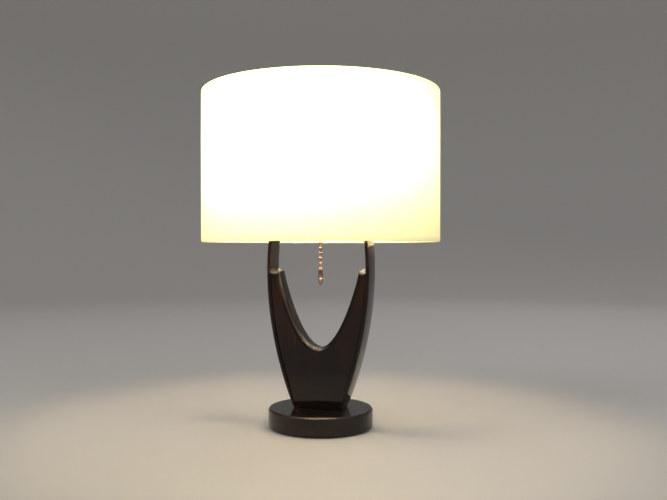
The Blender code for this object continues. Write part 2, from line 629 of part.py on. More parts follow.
def make_bulb():
    turned("bulb_contact", [(0, 294.2), (4.2, 294.2), (3.0, 293.0), (0, 292.6)], "steel", 12)
    turned("bulb_insulator", [(0, 298.0), (9.4, 298.0), (9.0, 296.8), (4.4, 294.5), (0, 294.5)], "black_plastic", 16)
    turned("bulb_base", [
        (13.1, 319.5), (13.1, 300.6), (10.2, 298.3), (3.0, 298.3), (3.0, 299.0), (9.9, 299.0), (12.5, 301.0), (12.5, 319.5),
    ], "steel", 24)
    dome = arc((0, 365), 30.0, 90, -35, 7)
    neck = through([dome[-1], (17.6, 335.4), (13.5, 326.4), (12.0, 320.0)], 1)[1:]
    outer = [(0, 395.0), *dome[1:], *(tuple(point) for point in neck), (12.0, 303.0)]
    inner_dome = arc((0, 365), 29.0, -35, 90, 7)
    inner_neck = [(r - 1.0, z) for r, z in reversed(neck)]
    inner = [(11.0, 303.0), *inner_neck[:-1], *inner_dome[:-1], (0, 394.0)]
    turned("bulb_glass", [*outer, *inner], "bulb_glass", 20)
    stem = [(0, 345), (2.6, 345), (3.2, 343), (3.8, 330), (4.6, 316), (8.0, 309), (10.5, 306), (10.5, 304.5), (0, 304.5)]
    turned("bulb_stem", stem, "bulb_glass", 12)
    support = [(-2, 0, 345.4), (-5, 0, 350), (-10, 0, 358), (-9.6, 0, 359.6), (-4.8, 4, 361), (0, 5, 361.6)]
    route = [*support, *((-x, y, z) for x, y, z in reversed(support[:-1]))]
    wire("bulb_filament", route, 0.4, "steel", 1)


make_base()
make_arm(-1, "left")
make_arm(1, "right")
make_yoke()
make_dowels()
make_crossbar()
make_nipple()
make_saddle()
make_harp()
make_shade()
make_spider()
make_finial()
make_socket()
make_switch()
make_chain()
make_bulb()
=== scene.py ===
"""Looks of the table lamp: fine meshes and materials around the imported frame.

The frame is in metres, +Z up, with the origin on the table at the middle of the base. Sizes below are in
millimetres, and places come from the frame's own boxes. Every fine mesh stands for the CAD node it is named
after, rides on that node's body and takes that node's material slot.
"""
import json
import math

import bmesh
import bpy
from mathutils import Matrix, Vector, noise

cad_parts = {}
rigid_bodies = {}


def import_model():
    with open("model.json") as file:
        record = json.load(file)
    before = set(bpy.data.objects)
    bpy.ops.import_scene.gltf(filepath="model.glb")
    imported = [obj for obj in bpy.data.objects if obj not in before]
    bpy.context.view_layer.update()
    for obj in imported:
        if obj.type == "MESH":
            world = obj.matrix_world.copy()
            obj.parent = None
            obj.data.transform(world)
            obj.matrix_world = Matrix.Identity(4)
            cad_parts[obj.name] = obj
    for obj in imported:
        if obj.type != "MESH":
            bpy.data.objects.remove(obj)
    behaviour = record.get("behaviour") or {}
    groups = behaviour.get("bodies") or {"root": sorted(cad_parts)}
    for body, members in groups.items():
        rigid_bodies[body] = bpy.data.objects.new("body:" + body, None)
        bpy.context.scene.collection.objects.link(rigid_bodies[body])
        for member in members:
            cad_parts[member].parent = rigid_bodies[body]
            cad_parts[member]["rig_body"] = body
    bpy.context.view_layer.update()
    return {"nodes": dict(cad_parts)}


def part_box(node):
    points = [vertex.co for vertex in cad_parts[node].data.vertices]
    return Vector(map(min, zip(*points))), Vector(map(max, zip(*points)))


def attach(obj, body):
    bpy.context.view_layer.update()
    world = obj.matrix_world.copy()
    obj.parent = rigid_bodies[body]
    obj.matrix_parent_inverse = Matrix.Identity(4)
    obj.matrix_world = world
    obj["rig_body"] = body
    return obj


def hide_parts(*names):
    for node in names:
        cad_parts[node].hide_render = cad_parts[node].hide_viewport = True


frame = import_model()
SCENE = bpy.context.scene
MM = 0.001
GAP = 0.3  # space between pieces that touch

# The arms' outer edge and the yoke's V as curves: x is half the width across, z the height
ARM_CURVE = ((31.3, 25.0), (35.0, 30.0), (84.4, 143.0), (63.6, 262.0))
YOKE_CURVE = ((0.0, 102.0), (30.4, 102.0), (53.8, 196.5), (53.4, 199.0))
ARM_T, ARM_TOE_T, ARM_TAPER_TOP = 4.8, 2.0, 75.0
HORN_R, HORN_DOME, DOME_BOTTOM = 3.5, 5.5, 180.0
YOKE_ROUND, HORN_ROUND_SHARE = 5.5, 0.6
ARM_EDGE, JOINT_EDGE, BAR_EDGE, DISC_BEVEL = 1.0, 0.5, 1.2, 1.8
DOWEL_R, DOWEL_IN_YOKE, DOWEL_IN_ARM = 2.5, 12.0, 2.2
NIPPLE_HOLE_R, HARP_LEG_X = 5.1, 24.0

# Shade
FABRIC_T, HEM, SEAM_LAP, WEAVE = 0.55, 12.0, 12.0, 0.62
FABRIC_FLAT = (0.969, 0.223)  # metres
SEAM_AZIMUTH = math.radians(120)
SPIDER_AZIMUTHS = tuple(math.radians(90 + 120 * number) for number in range(3))

# Chain
BEAD_R, BEAD_PITCH, LINK_R, LOWEST_BEAD = 2.4, 6.35, 0.5, 3.9
CHAIN_AZIMUTH, CHAIN_REACH = math.radians(-71.0), 22.7
LEVER_SLOT = (275.6, 283.4)

# Threads: pitch and depth
LAMP_THREAD = (0.94, 0.5)
EDISON_THREAD = (3.63, 0.9)
BOLT_THREAD = (1.25, 0.7)
WOOD_THREAD = (1.8, 0.8)

# Light
BULB_GLOW, SHADE_GLOW, SHADE_FALLOFF = 190.0, 2.67, 5.6
GLOW_OFFSET = (-0.0005, -0.0300)  # metres from the lamp's axis to the middle of the shade's painted glow
HEM_LIGHT, LAP_LIGHT = 0.80, 0.78  # share of the glow that passes where the cloth is double
LAMP_WHITE = (1.0, 0.80, 0.50, 1.0)


def added(name, data):
    """A new object in the scene."""
    obj = bpy.data.objects.new(name, data)
    SCENE.collection.objects.link(obj)
    return obj


# ---- Camera ----

def make_camera():
    """Level, 0.98 m from the lamp's axis and 19 degrees to the right of its front."""
    distance, eye_height, azimuth = 0.979, 0.2272, math.radians(19)
    camera = bpy.data.cameras.new("camera")
    camera.lens = 40.94
    camera.sensor_width = 36.0
    camera.shift_x = 0.0193
    obj = added("camera", camera)
    obj.location = (distance * math.sin(azimuth), -distance * math.cos(azimuth), eye_height)
    obj.rotation_euler = (math.pi / 2, 0, azimuth)
    SCENE.camera = obj


# ---- Materials ----

class Recipe:
    """A Principled material with short ways to add nodes to it."""

    def __init__(self, name, sockets=None):
        self.material = bpy.data.materials.new(name)
        self.material.use_nodes = True
        self.tree = self.material.node_tree
        self.shader = self.tree.nodes["Principled BSDF"]
        self.set(sockets or {})

    def put(self, socket, value):
        if isinstance(value, bpy.types.NodeSocket):
            self.tree.links.new(value, socket)
        else:
            socket.default_value = value

    def set(self, sockets):
        for name, value in sockets.items():
            self.put(self.shader.inputs[name], value)

    def add(self, kind, inputs=None, output=0, **settings):
        node = self.tree.nodes.new("ShaderNode" + kind)
        for name, value in settings.items():
            setattr(node, name, value)
        for name, value in (inputs or {}).items():
            self.put(node.inputs[name], value)
        return node.outputs[output]

    def place(self):
        return self.add("TexCoord", output="Object")

    def stretched(self, vector, scale):
        return self.add("VectorMath", {0: vector, 1: scale}, operation="MULTIPLY")

    def noise(self, vector, scale, detail=2.0, rough=0.5, output="Fac"):
        """Noise at a number of cells per metre, or one number for each axis."""
        if isinstance(scale, tuple):
            vector, scale = self.stretched(vector, scale), 1.0
        inputs = {"Vector": vector, "Scale": scale, "Detail": detail, "Roughness": rough}
        return self.add("TexNoise", inputs, output)

    def math(self, operation, first, second=0.0):
        return self.add("Math", {0: first, 1: second}, operation=operation)

    def product(self, first, second):
        return self.math("MULTIPLY", first, second)

    def axes(self, vector):
        """The separate x, y and z of a vector."""
        node = self.tree.nodes.new("ShaderNodeSeparateXYZ")
        self.put(node.inputs[0], vector)
        return node.outputs

    def ranged(self, value, low, high, new_low=0.0, new_high=1.0):
        inputs = {"Value": value, "From Min": low, "From Max": high, "To Min": new_low, "To Max": new_high}
        return self.add("MapRange", inputs, interpolation_type="SMOOTHSTEP")

    def ramp(self, value, *stops):
        """Colours along a value; each stop is (place, red, green, blue)."""
        output = self.add("ValToRGB", {"Fac": value}, "Color")
        elements = output.node.color_ramp.elements
        while len(elements) < len(stops):
            elements.new(0.5)
        for element, (position, *colour) in zip(elements, stops):
            element.position = position
            element.color = (*colour, 1.0)
        return output

    def tinted(self, colour, shade):
        """A colour made darker or lighter by a value."""
        node = self.tree.nodes.new("ShaderNodeMix")
        node.data_type = "RGBA"
        node.blend_type = "MULTIPLY"
        self.put(node.inputs["Factor"], 1.0)
        self.put(node.inputs[6], colour)
        self.put(node.inputs[7], shade)
        return node.outputs[2]

    def bump(self, height, depth_mm, strength):
        return self.add("Bump", {"Height": height, "Distance": depth_mm * MM, "Strength": strength}, "Normal")


def espresso_wood():
    """Dark stained hardwood under clear gloss lacquer; "grain" is each point's place in its board."""
    wood = Recipe("espresso_wood_lacquered", {
        "Coat Weight": 0.9, "Coat Roughness": 0.04, "Coat IOR": 1.42, "Specular IOR Level": 0.04,
    })
    board = wood.add("Attribute", output="Vector", attribute_name="grain")
    wander = wood.noise(board, (45, 45, 7), 2.0, output="Color")
    drift = wood.stretched(wander, (0.006, 0.006, 0.0))
    bent = wood.add("VectorMath", {0: board, 1: drift}, operation="ADD")
    bands = wood.noise(bent, (150, 150, 3), 3.0, 0.55)
    fibres = wood.noise(bent, (900, 900, 16), 3.0, 0.6)
    pores = wood.ranged(wood.noise(bent, (2300, 2300, 75), 1.0), 0.60, 0.70)
    tone = wood.math("ADD", wood.product(bands, 0.6), wood.product(fibres, 0.4))
    stain = wood.ramp(
        tone, (0.32, 0.0030, 0.0015, 0.0009), (0.50, 0.0065, 0.0029, 0.0017), (0.68, 0.0125, 0.0054, 0.0029))
    wood.set({
        "Base Color": wood.tinted(stain, wood.ramp(pores, (0.0, 1.0, 1.0, 1.0), (1.0, 0.35, 0.32, 0.30))),
        "Roughness": wood.ranged(fibres, 0.3, 0.7, 0.30, 0.46),
    })
    grain = wood.bump(wood.math("SUBTRACT", fibres, pores), 0.05, 0.35)
    waves = wood.noise(board, (40, 40, 14), 2.0)
    wood.set({"Normal": grain, "Coat Normal": wood.bump(waves, 0.25, 0.012)})
    return wood.material


def metal(name, dark, bright, roughness, brushed=(700, 700, 2500), wear=0.02):
    """A metal whose colour and gloss vary softly, with fine tool marks."""
    recipe = Recipe(name, {"Metallic": 1.0})
    place = recipe.place()
    cloud = recipe.noise(place, 140.0, 4.0, 0.6)
    marks = recipe.noise(place, brushed, 2.0)
    recipe.set({
        "Base Color": recipe.ramp(cloud, (0.35, *dark), (0.65, *bright)),
        "Roughness": recipe.ranged(cloud, 0.3, 0.7, roughness * 0.8, roughness * 1.35),
        "Normal": recipe.bump(marks, wear, 0.4),
    })
    return recipe.material


def plain(name, sockets, noise, dark, light, roughness, bump):
    """A material whose colour, gloss and skin all follow one noise of (scale, detail, roughness)."""
    recipe = Recipe(name, sockets)
    skin = recipe.noise(recipe.place(), *noise)
    recipe.set({
        "Base Color": recipe.ramp(skin, (0.3, *dark), (0.7, *light)),
        "Roughness": recipe.ranged(skin, 0.3, 0.7, *roughness),
        "Normal": recipe.bump(skin, *bump),
    })
    return recipe.material


def birch():
    recipe = Recipe("birch_plain", {"Roughness": 0.6})
    fibres = recipe.noise(recipe.place(), (60, 900, 900), 3.0, 0.6)
    recipe.set({
        "Base Color": recipe.ramp(fibres, (0.3, 0.50, 0.33, 0.18), (0.7, 0.70, 0.52, 0.33)),
        "Normal": recipe.bump(fibres, 0.05, 0.5),
    })
    return recipe.material


def moulded(name, dark, light, roughness, grain=1400.0, depth=0.03):
    """Moulded plastic or paper board with a fine even grain."""
    recipe = Recipe(name)
    place = recipe.place()
    speck = recipe.noise(place, grain, 3.0, 0.6)
    cloud = recipe.noise(place, 90.0, 2.0)
    recipe.set({
        "Base Color": recipe.ramp(recipe.product(recipe.math("ADD", speck, cloud), 0.5),
                                  (0.35, *dark), (0.65, *light)),
        "Roughness": recipe.ranged(speck, 0.3, 0.7, roughness, roughness + 0.15),
        "Normal": recipe.bump(speck, depth, 0.5),
    })
    return recipe.material


def felt():
    recipe = Recipe("felt_pressed", {"Sheen Weight": 0.6, "Sheen Roughness": 0.6, "Specular IOR Level": 0.1})
    place = recipe.place()
    tufts = recipe.noise(place, 420.0, 5.0, 0.75)
    hairs = recipe.noise(place, (2600, 500, 900), 3.0, 0.7)
    cross = recipe.noise(place, (500, 2600, 900), 3.0, 0.7)
    nap = recipe.math("ADD", tufts, recipe.math("MAXIMUM", hairs, cross))
    recipe.set({
        "Base Color": recipe.ramp(recipe.product(nap, 0.5),
                                  (0.35, 0.006, 0.006, 0.007), (0.75, 0.035, 0.034, 0.036)),
        "Roughness": recipe.ranged(tufts, 0.3, 0.7, 0.9, 1.0),
        "Normal": recipe.bump(nap, 0.35, 0.9),
    })
    return recipe.material


def painted_wire():
    recipe = Recipe("white_wire_enamel", {"Coat Weight": 0.3, "Coat Roughness": 0.15})
    place = recipe.place()
    skin = recipe.noise(place, 600.0, 2.0)
    dirt = recipe.noise(place, 60.0, 4.0, 0.65)
    recipe.set({
        "Base Color": recipe.ramp(dirt, (0.3, 0.70, 0.69, 0.65), (0.6, 0.82, 0.81, 0.78)),
        "Roughness": recipe.ranged(skin, 0.3, 0.7, 0.28, 0.42),
        "Normal": recipe.bump(skin, 0.05, 0.4),
    })
    return recipe.material


def lit_share(recipe, falloff):
    """How much of the bulb's light reaches a point of the shade: 1 beside the bulb, less towards the rims.

    It is measured in the room, so that the glow stays with the bulb when the shade turns.
    """
    low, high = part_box("bulb_glass")
    bulb = (*GLOW_OFFSET, high.z - (high.x - low.x) / 2)
    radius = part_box("shade_fabric")[1].x
    place = recipe.add("NewGeometry", output="Position")
    reach = recipe.add("VectorMath", {0: place, 1: bulb}, "Value", operation="DISTANCE")
    return recipe.math("POWER", recipe.math("DIVIDE", radius, reach), falloff)


def shade_fabric():
    """Off-white woven cloth over styrene, with the bulb's light through it painted on as an emission glow,
    brightest beside the bulb. The cloth map holds the weave's own directions.
    """
    cloth = Recipe("shade_fabric_linen", {
        "Roughness": 0.85, "Sheen Weight": 0.25, "Sheen Roughness": 0.5, "Specular IOR Level": 0.15,
        "Emission Color": (1.0, 0.87, 0.31, 1.0),
    })
    flat = cloth.add("UVMap", uv_map="cloth")
    pitch = math.tau / (WEAVE * MM)
    along, up, _ = cloth.axes(flat)
    warp = cloth.math("SINE", cloth.product(along, pitch))
    weft = cloth.math("SINE", cloth.product(up, pitch))
    weave = cloth.product(warp, weft)
    slub_across = cloth.noise(flat, (26, 1500, 1), 2.0, 0.6)
    slub_up = cloth.noise(flat, (1500, 26, 1), 2.0, 0.6)
    slubs = cloth.product(cloth.math("ADD", slub_across, slub_up), 0.5)
    thread = cloth.math("ADD", slubs, cloth.product(weave, 0.10))
    low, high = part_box("shade_fabric")
    _, _, height = cloth.axes(cloth.place())
    # Painted glow: dimmer where the cloth lies double, in the hems over both rings and at the seam's lap.
    bottom_hem = cloth.ranged(height, low.z + 4.0 * MM, low.z + 5.4 * MM, HEM_LIGHT, 1.0)
    top_hem = cloth.ranged(height, high.z - 5.4 * MM, high.z - 4.0 * MM, 1.0, HEM_LIGHT)
    first, last, soft = SEAM_LAP * MM, FABRIC_FLAT[0] - SEAM_LAP * MM, 0.4 * MM
    first_lap = cloth.ranged(along, first - soft, first + soft, LAP_LIGHT, 1.0)
    last_lap = cloth.ranged(along, last - soft, last + soft, 1.0, LAP_LIGHT)
    layers = cloth.product(cloth.product(bottom_hem, top_hem), cloth.product(first_lap, last_lap))
    glow = cloth.product(lit_share(cloth, SHADE_FALLOFF), SHADE_GLOW)
    # Share of the painted glow that comes through the cloth: less where it is double, varying a little with
    # the slubs.
    body = cloth.product(layers, cloth.ranged(slubs, 0.35, 0.65, 0.95, 1.05))
    cloth.set({
        "Base Color": cloth.ramp(
            thread, (0.30, 0.58, 0.53, 0.41), (0.50, 0.70, 0.65, 0.52), (0.72, 0.78, 0.73, 0.60)),
        "Emission Strength": cloth.product(glow, body),
        "Normal": cloth.bump(thread, 0.20, 0.6),
    })
    return cloth.material


def bulb_glass():
    """White-coated glass that glows, less towards its neck."""
    glass = Recipe("bulb_glass_frosted", {
        "Emission Color": LAMP_WHITE, "Coat Weight": 0.6, "Coat Roughness": 0.05,
    })
    low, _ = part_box("bulb_glass")
    place = glass.place()
    _, _, height = glass.axes(place)
    powder = glass.noise(place, 700.0, 3.0, 0.6)
    neck, dome = low.z + 20 * MM, low.z + 44 * MM
    strength = glass.ranged(height, neck, dome, BULB_GLOW * 0.25, BULB_GLOW)
    glass.set({
        "Base Color": glass.ramp(powder, (0.3, 0.84, 0.83, 0.80), (0.7, 0.92, 0.91, 0.89)),
        "Roughness": glass.ranged(powder, 0.3, 0.7, 0.25, 0.4),
        "Emission Strength": strength,
    })
    return glass.material


def make_materials():
    return {
        "espresso_wood": espresso_wood(),
        "birch": birch(),
        "felt": felt(),
        "iron": plain(
            "iron_cast", {"Metallic": 0.9}, (900.0, 4.0, 0.7),
            (0.04, 0.04, 0.045), (0.13, 0.13, 0.14), (0.75, 0.5), (0.4, 0.8)),
        "steel": metal("steel_plated", (0.46, 0.46, 0.47), (0.62, 0.62, 0.63), 0.26),
        "brass": metal("brass_lacquered", (0.62, 0.40, 0.15), (0.78, 0.56, 0.26), 0.22),
        "copper_brass": metal("copper_brass_plated", (0.36, 0.14, 0.08), (0.93, 0.69, 0.54), 0.12, wear=0.01),
        "black_plastic": moulded("black_plastic_moulded", (0.010, 0.010, 0.011), (0.022, 0.022, 0.023), 0.34),
        "phenolic": moulded("phenolic_moulded", (0.020, 0.011, 0.007), (0.055, 0.030, 0.019), 0.28, 600.0),
        "card": moulded("card_fibre", (0.20, 0.14, 0.085), (0.34, 0.25, 0.16), 0.75, 500.0, 0.08),
        "white_wire": painted_wire(),
        "shade_fabric": shade_fabric(),
        "shade_liner": plain(
            "shade_liner_styrene", {"Coat Weight": 0.15, "Coat Roughness": 0.3}, (260.0, 3.0),
            (0.83, 0.81, 0.75), (0.89, 0.875, 0.82), (0.36, 0.50), (0.06, 0.3)),
        "bulb_glass": bulb_glass(),
    }


# ---- Shapes ----

def span(node):
    """A node's lowest and highest corners in millimetres."""
    low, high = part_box(node)
    return low / MM, high / MM


def centre(node):
    """The middle of a node's box in millimetres."""
    low, high = span(node)
    return (low + high) / 2


def filleted(corners, steps=6, flat=0.25):
    """Rounds the (x, z, radius) corners of an outline, with a short flat on each side to hold the shading."""
    points = []
    for i, (x, z, *rounding) in enumerate(corners):
        if not rounding:
            points.append((x, z))
            continue
        here = Vector((x, z))
        before = (Vector(corners[i - 1][:2]) - here).normalized()
        after = (Vector(corners[(i + 1) % len(corners)][:2]) - here).normalized()
        half = before.angle(after) / 2
        radius, reach = rounding[0], rounding[0] / math.tan(half)
        middle = here + (before + after).normalized() * radius / math.sin(half)
        first, last = here + before * reach - middle, here + after * reach - middle
        start = math.atan2(first.y, first.x)
        sweep = math.remainder(math.atan2(last.y, last.x) - start, math.tau)
        turns = [start + sweep * step / steps for step in range(steps + 1)]
        points.append(tuple(here + before * (reach + flat)))
        points += [(middle.x + radius * math.cos(turn), middle.y + radius * math.sin(turn)) for turn in turns]
        points.append(tuple(here + after * (reach + flat)))
    return points


def through(corners, steps):
    """Points on a smooth curve that passes through every corner."""
    corners = [Vector(corner) for corner in corners]
    padded = [2 * corners[0] - corners[1], *corners, 2 * corners[-1] - corners[-2]]
    points = []
    for a, b, c, d in zip(padded, padded[1:], padded[2:], padded[3:]):
        for step in range(steps):
            t = step / steps
            points.append(
                b * (2 * t ** 3 - 3 * t * t + 1) + (c - a) / 2 * (t ** 3 - 2 * t * t + t)
                + c * (3 * t * t - 2 * t ** 3) + (d - b) / 2 * (t ** 3 - t * t)
            )
    return [*points, corners[-1]]


def bezier(corners, count):
    a, b, c, d = (Vector(corner) for corner in corners)
    steps = [i / count for i in range(count + 1)]
    return [a * (1 - t) ** 3 + b * 3 * t * (1 - t) ** 2 + c * 3 * t * t * (1 - t) + d * t ** 3 for t in steps]


def arc(middle, radius, start, end, count):
    """Points on an arc of a circle, angles in degrees."""
    turns = [math.radians(start + (end - start) * i / count) for i in range(count + 1)]
    return [(middle[0] + radius * math.cos(turn), middle[1] + radius * math.sin(turn)) for turn in turns]


def rows_between(profile, spacing):
    """The profile with extra points, so that none are further apart than the spacing."""
    points = []
    for (r0, z0), (r1, z1) in zip(profile, profile[1:]):
        count = max(1, math.ceil(math.hypot(r1 - r0, z1 - z0) / spacing))
        points += [(r0 + (r1 - r0) * i / count, z0 + (z1 - z0) * i / count) for i in range(count)]
    return [*points, profile[-1]]


def turned(profile, segments=48, reshape=None):
    """Mesh of a profile of (radius, height), turned about Z. Its points run down the outer side."""
    solid = profile[0][0] == 0 and profile[-1][0] == 0
    rows = profile[1:-1] if solid else profile
    corners = []
    for i in range(segments):
        turn = math.tau * i / segments
        for radius, height in rows:
            r = reshape(radius, height, turn) if reshape else radius
            corners.append((r * math.cos(turn) * MM, r * math.sin(turn) * MM, height * MM))
    count = len(rows)
    strips = count - 1 if solid else count
    faces = []
    for i in range(segments):
        a, b = i * count, (i + 1) % segments * count
        faces += [(a + j, a + (j + 1) % count, b + (j + 1) % count, b + j) for j in range(strips)]
        if solid:
            top, bottom = segments * count, segments * count + 1
            faces += [(top, a, b), (bottom, b + count - 1, a + count - 1)]
    if solid:
        corners += [(0, 0, profile[0][1] * MM), (0, 0, profile[-1][1] * MM)]
    mesh = bpy.data.meshes.new("turned")
    mesh.from_pydata(corners, [], faces)
    return mesh


def threaded(thread, low, high, inner=0.0):
    """A reshape for turned(): a helical thread between two heights, fading at its ends, outside a radius."""
    pitch, depth = thread

    def reshape(radius, height, turn):
        if radius <= inner:
            return radius
        fade = max(0.0, min(1.0, (height - low) / pitch, (high - height) / pitch))
        wave = 0.5 - 0.5 * math.cos(math.tau * (height / pitch) - turn)
        return radius - depth * fade * wave if fade else radius

    return reshape


def pipe(points, radius, sides=16):
    """Mesh of a round rod along points, with closed ends."""
    points = [Vector(point) for point in points]
    bm = bmesh.new()
    rings, side = [], None
    for i, point in enumerate(points):
        ahead = (points[min(i + 1, len(points) - 1)] - points[max(i - 1, 0)]).normalized()
        side = ahead.orthogonal() if side is None else side - ahead * side.dot(ahead)
        side.normalize()
        up = ahead.cross(side)
        ring = []
        for k in range(sides):
            t = math.tau * k / sides
            ring.append(bm.verts.new((point + (side * math.cos(t) + up * math.sin(t)) * radius) * MM))
        rings.append(ring)
    for low, high in zip(rings, rings[1:]):
        for j in range(sides):
            k = (j + 1) % sides
            bm.faces.new((low[j], low[k], high[k], high[j]))
    bm.faces.new(reversed(rings[0]))
    bm.faces.new(rings[-1])
    return from_bmesh(bm)


def from_bmesh(bm):
    mesh = bpy.data.meshes.new("shape")
    bm.to_mesh(mesh)
    bm.free()
    return mesh


def slab(outline, depth, edges, steps=7, middle=(), reshape=None):
    """Mesh of a flat outline in the XZ plane with a depth along Y; edges holds each corner's rounding.

    Extra sections stand at the middle shares of the depth, and reshape moves a point's height.
    """
    count = len(outline)
    inward = []
    for i in range(count):
        before, after = Vector(outline[i - 1]), Vector(outline[(i + 1) % count])
        along = (after - before).normalized()
        inward.append(Vector((-along.y, along.x)))
    turns = [math.pi / 2 * step / steps for step in range(steps + 1)]
    rings = [(1.0, 0.0, 0.25), *((1 - math.sin(turn), 1 - math.cos(turn), 0.0) for turn in turns)]
    sections = [(-1, *values) for values in rings] + [(share, 0.0, 1.0, 0.0) for share in middle]
    sections += [(1, *values) for values in reversed(rings)]
    bm = bmesh.new()
    loops = []
    for side, inset, drop, extra in sections:
        loop = []
        for (x, z), normal, edge in zip(outline, inward, edges):
            shift = normal * (edge * inset + extra * min(1.0, edge))
            y, height = side * (depth / 2 - edge * drop), z + shift.y
            height = reshape(y, height) if reshape else height
            loop.append(bm.verts.new(((x + shift.x) * MM, y * MM, height * MM)))
        loops.append(loop)
    for first, second in zip(loops, loops[1:]):
        for i in range(count):
            j = (i + 1) % count
            bm.faces.new((first[i], first[j], second[j], second[i]))
    bm.faces.new(loops[0])
    bm.faces.new(loops[-1])
    bmesh.ops.recalc_face_normals(bm, faces=bm.faces)
    return from_bmesh(bm)


def box_mesh(low, high):
    bm = bmesh.new()
    size, middle = Vector(high) - Vector(low), (Vector(high) + Vector(low)) / 2
    bmesh.ops.create_cube(bm, size=1.0)
    bmesh.ops.scale(bm, vec=size * MM, verts=bm.verts)
    bmesh.ops.translate(bm, vec=middle * MM, verts=bm.verts)
    return from_bmesh(bm)


def put(mesh, at=(0.0, 0.0, 0.0), along=(0.0, 0.0, 1.0), turn=0.0):
    """Turns a mesh about its Z axis, points that axis along a direction, and moves its origin to a point."""
    aim = Vector((0, 0, 1)).rotation_difference(Vector(along)).to_matrix().to_4x4()
    mesh.transform(Matrix.Translation(Vector(at) * MM) @ aim @ Matrix.Rotation(turn, 4, "Z"))
    return mesh


def evaluated(obj):
    return bpy.data.meshes.new_from_object(obj.evaluated_get(bpy.context.evaluated_depsgraph_get()))


def combined(mesh, *tools, operation="DIFFERENCE"):
    """The mesh cut by, or joined to, each tool mesh in turn."""
    for tool in tools:
        base, cutter = added("base", mesh), added("cutter", tool)
        modifier = base.modifiers.new("combine", "BOOLEAN")
        modifier.operation = operation
        modifier.object = cutter
        modifier.solver = "EXACT"
        mesh = evaluated(base)
        for obj in (base, cutter):
            bpy.data.objects.remove(obj)
    return mesh


def joined(mesh, *others):
    return combined(mesh, *others, operation="UNION")


def drill(radius, start, end, segments=24):
    start, end = Vector(start), Vector(end)
    profile = [(0, (end - start).length), (radius, (end - start).length), (radius, 0), (0, 0)]
    return put(turned(profile, segments), start, (end - start).normalized(), math.pi / segments)


def bore(radius, low, high, segments=24):
    """A cutter through a piece along the lamp's axis."""
    return drill(radius, (0, 0, low), (0, 0, high), segments)


def tube(outer, inner, low, high, step):
    """The profile of a plain tube."""
    outside, inside = [(outer, high), (outer, low)], [(inner, low), (inner, high)]
    return rows_between(outside, step) + rows_between(inside, step)


def finish_piece(node, mesh, sharp=32.0):
    """Shows the mesh in the CAD node's place, on the node's body and with the finish of its slot."""
    slot = frame["nodes"][node].data.materials[0].name
    obj = added(f"{node}_fine", mesh)
    mesh.materials.clear()
    mesh.materials.append(MATERIALS[slot])
    mesh.shade_smooth()
    mesh.set_sharp_from_angle(angle=math.radians(sharp))
    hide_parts(node)
    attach(obj, frame["nodes"][node]["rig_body"])
    return obj


def lay_grain(mesh, board):
    """Stores each vertex's place in its board: across, through and along the grain, in metres."""
    grain = mesh.attributes.new("grain", "FLOAT_VECTOR", "POINT")
    for vertex, value in zip(mesh.vertices, grain.data):
        value.vector = board(vertex.co)
    return mesh


# ---- Wood ----

DISC_TOP = span("base_disc")[1].z
ARM_TOP = span("arm_right")[1].z
HORN_TOP = span("yoke_block")[1].z
YOKE_DEPTH = span("yoke_block")[1].y * 2
ARM_DEPTH = span("arm_right")[1].y * 2
ARM_OUTER = bezier(ARM_CURVE, 160)
BAR_SCREWS = [f"bar_screw_{word}_{place}" for word in ("left", "right") for place in ("front", "back")]
DOWEL_HEIGHTS = [centre(f"dowel_right_{level}").z for level in ("lower", "upper")]


def arm_half_width(height):
    """Half the width across the arms' outer faces at a height."""
    for low, high in zip(ARM_OUTER, ARM_OUTER[1:]):
        if low.y <= height <= high.y:
            return low.x + (high.x - low.x) * (height - low.y) / (high.y - low.y)
    return ARM_OUTER[-1].x


def arm_thickness(height):
    share = min(1.0, max(0.0, (height - DISC_TOP) / (ARM_TAPER_TOP - DISC_TOP)))
    return ARM_TOE_T + (ARM_T - ARM_TOE_T) * math.sin(share * math.pi / 2)


def arm_lean(height):
    low, high = max(height - 2, DISC_TOP), min(height + 2, ARM_TOP)
    return (arm_half_width(high) - arm_half_width(low)) / 4


def arm_inner(height):
    """Half the width between the arms' inner faces."""
    return arm_half_width(height) - arm_thickness(height) * math.hypot(1.0, arm_lean(height))


def levels(low, high, count):
    return [low + (high - low) * i / count for i in range(count + 1)]


def screw_place(node):
    """Where a crossbar screw's head is, and the way it points outwards."""
    low, high = span(node)
    side = 1 if high.x > 0 else -1
    middle = centre(node)
    return Vector((high.x if side > 0 else low.x, middle.y, middle.z)), side


def make_disc():
    low, high = span("base_disc")
    recess_r, recess_top, wire_r = 53.0, 13.3, 5.0
    profile = filleted([
        (wire_r, high.z, 0.8), (high.x - DISC_BEVEL, high.z, 0.7),
        (high.x, high.z - 1.06 * DISC_BEVEL, 0.7), (high.x, low.z, 0.9), (recess_r, low.z, 0.5),
        (recess_r, recess_top, 0.8), (wire_r, recess_top, 0.4),
    ], steps=10)
    mesh = turned(profile, 180)
    cord_z = centre("cord_bushing").z
    holes = [drill(4.6, (0, recess_r - 8, cord_z), (0, high.x + 8, cord_z), 32)]
    for node, radius, top in (
        ("yoke_bolt_left", 3.3, 30), ("yoke_bolt_right", 3.3, 30),
        ("weight_screw_1", 2.05, 22.2), ("weight_screw_2", 2.05, 22.2), ("weight_screw_3", 2.05, 22.2),
    ):
        at = centre(node)
        holes.append(drill(radius, (at.x, at.y, 8), (at.x, at.y, top)))
    mesh = combined(mesh, *holes)
    finish_piece("base_disc", lay_grain(mesh, lambda co: (co.y + 0.31, co.z + 0.02, co.x + 0.4)))


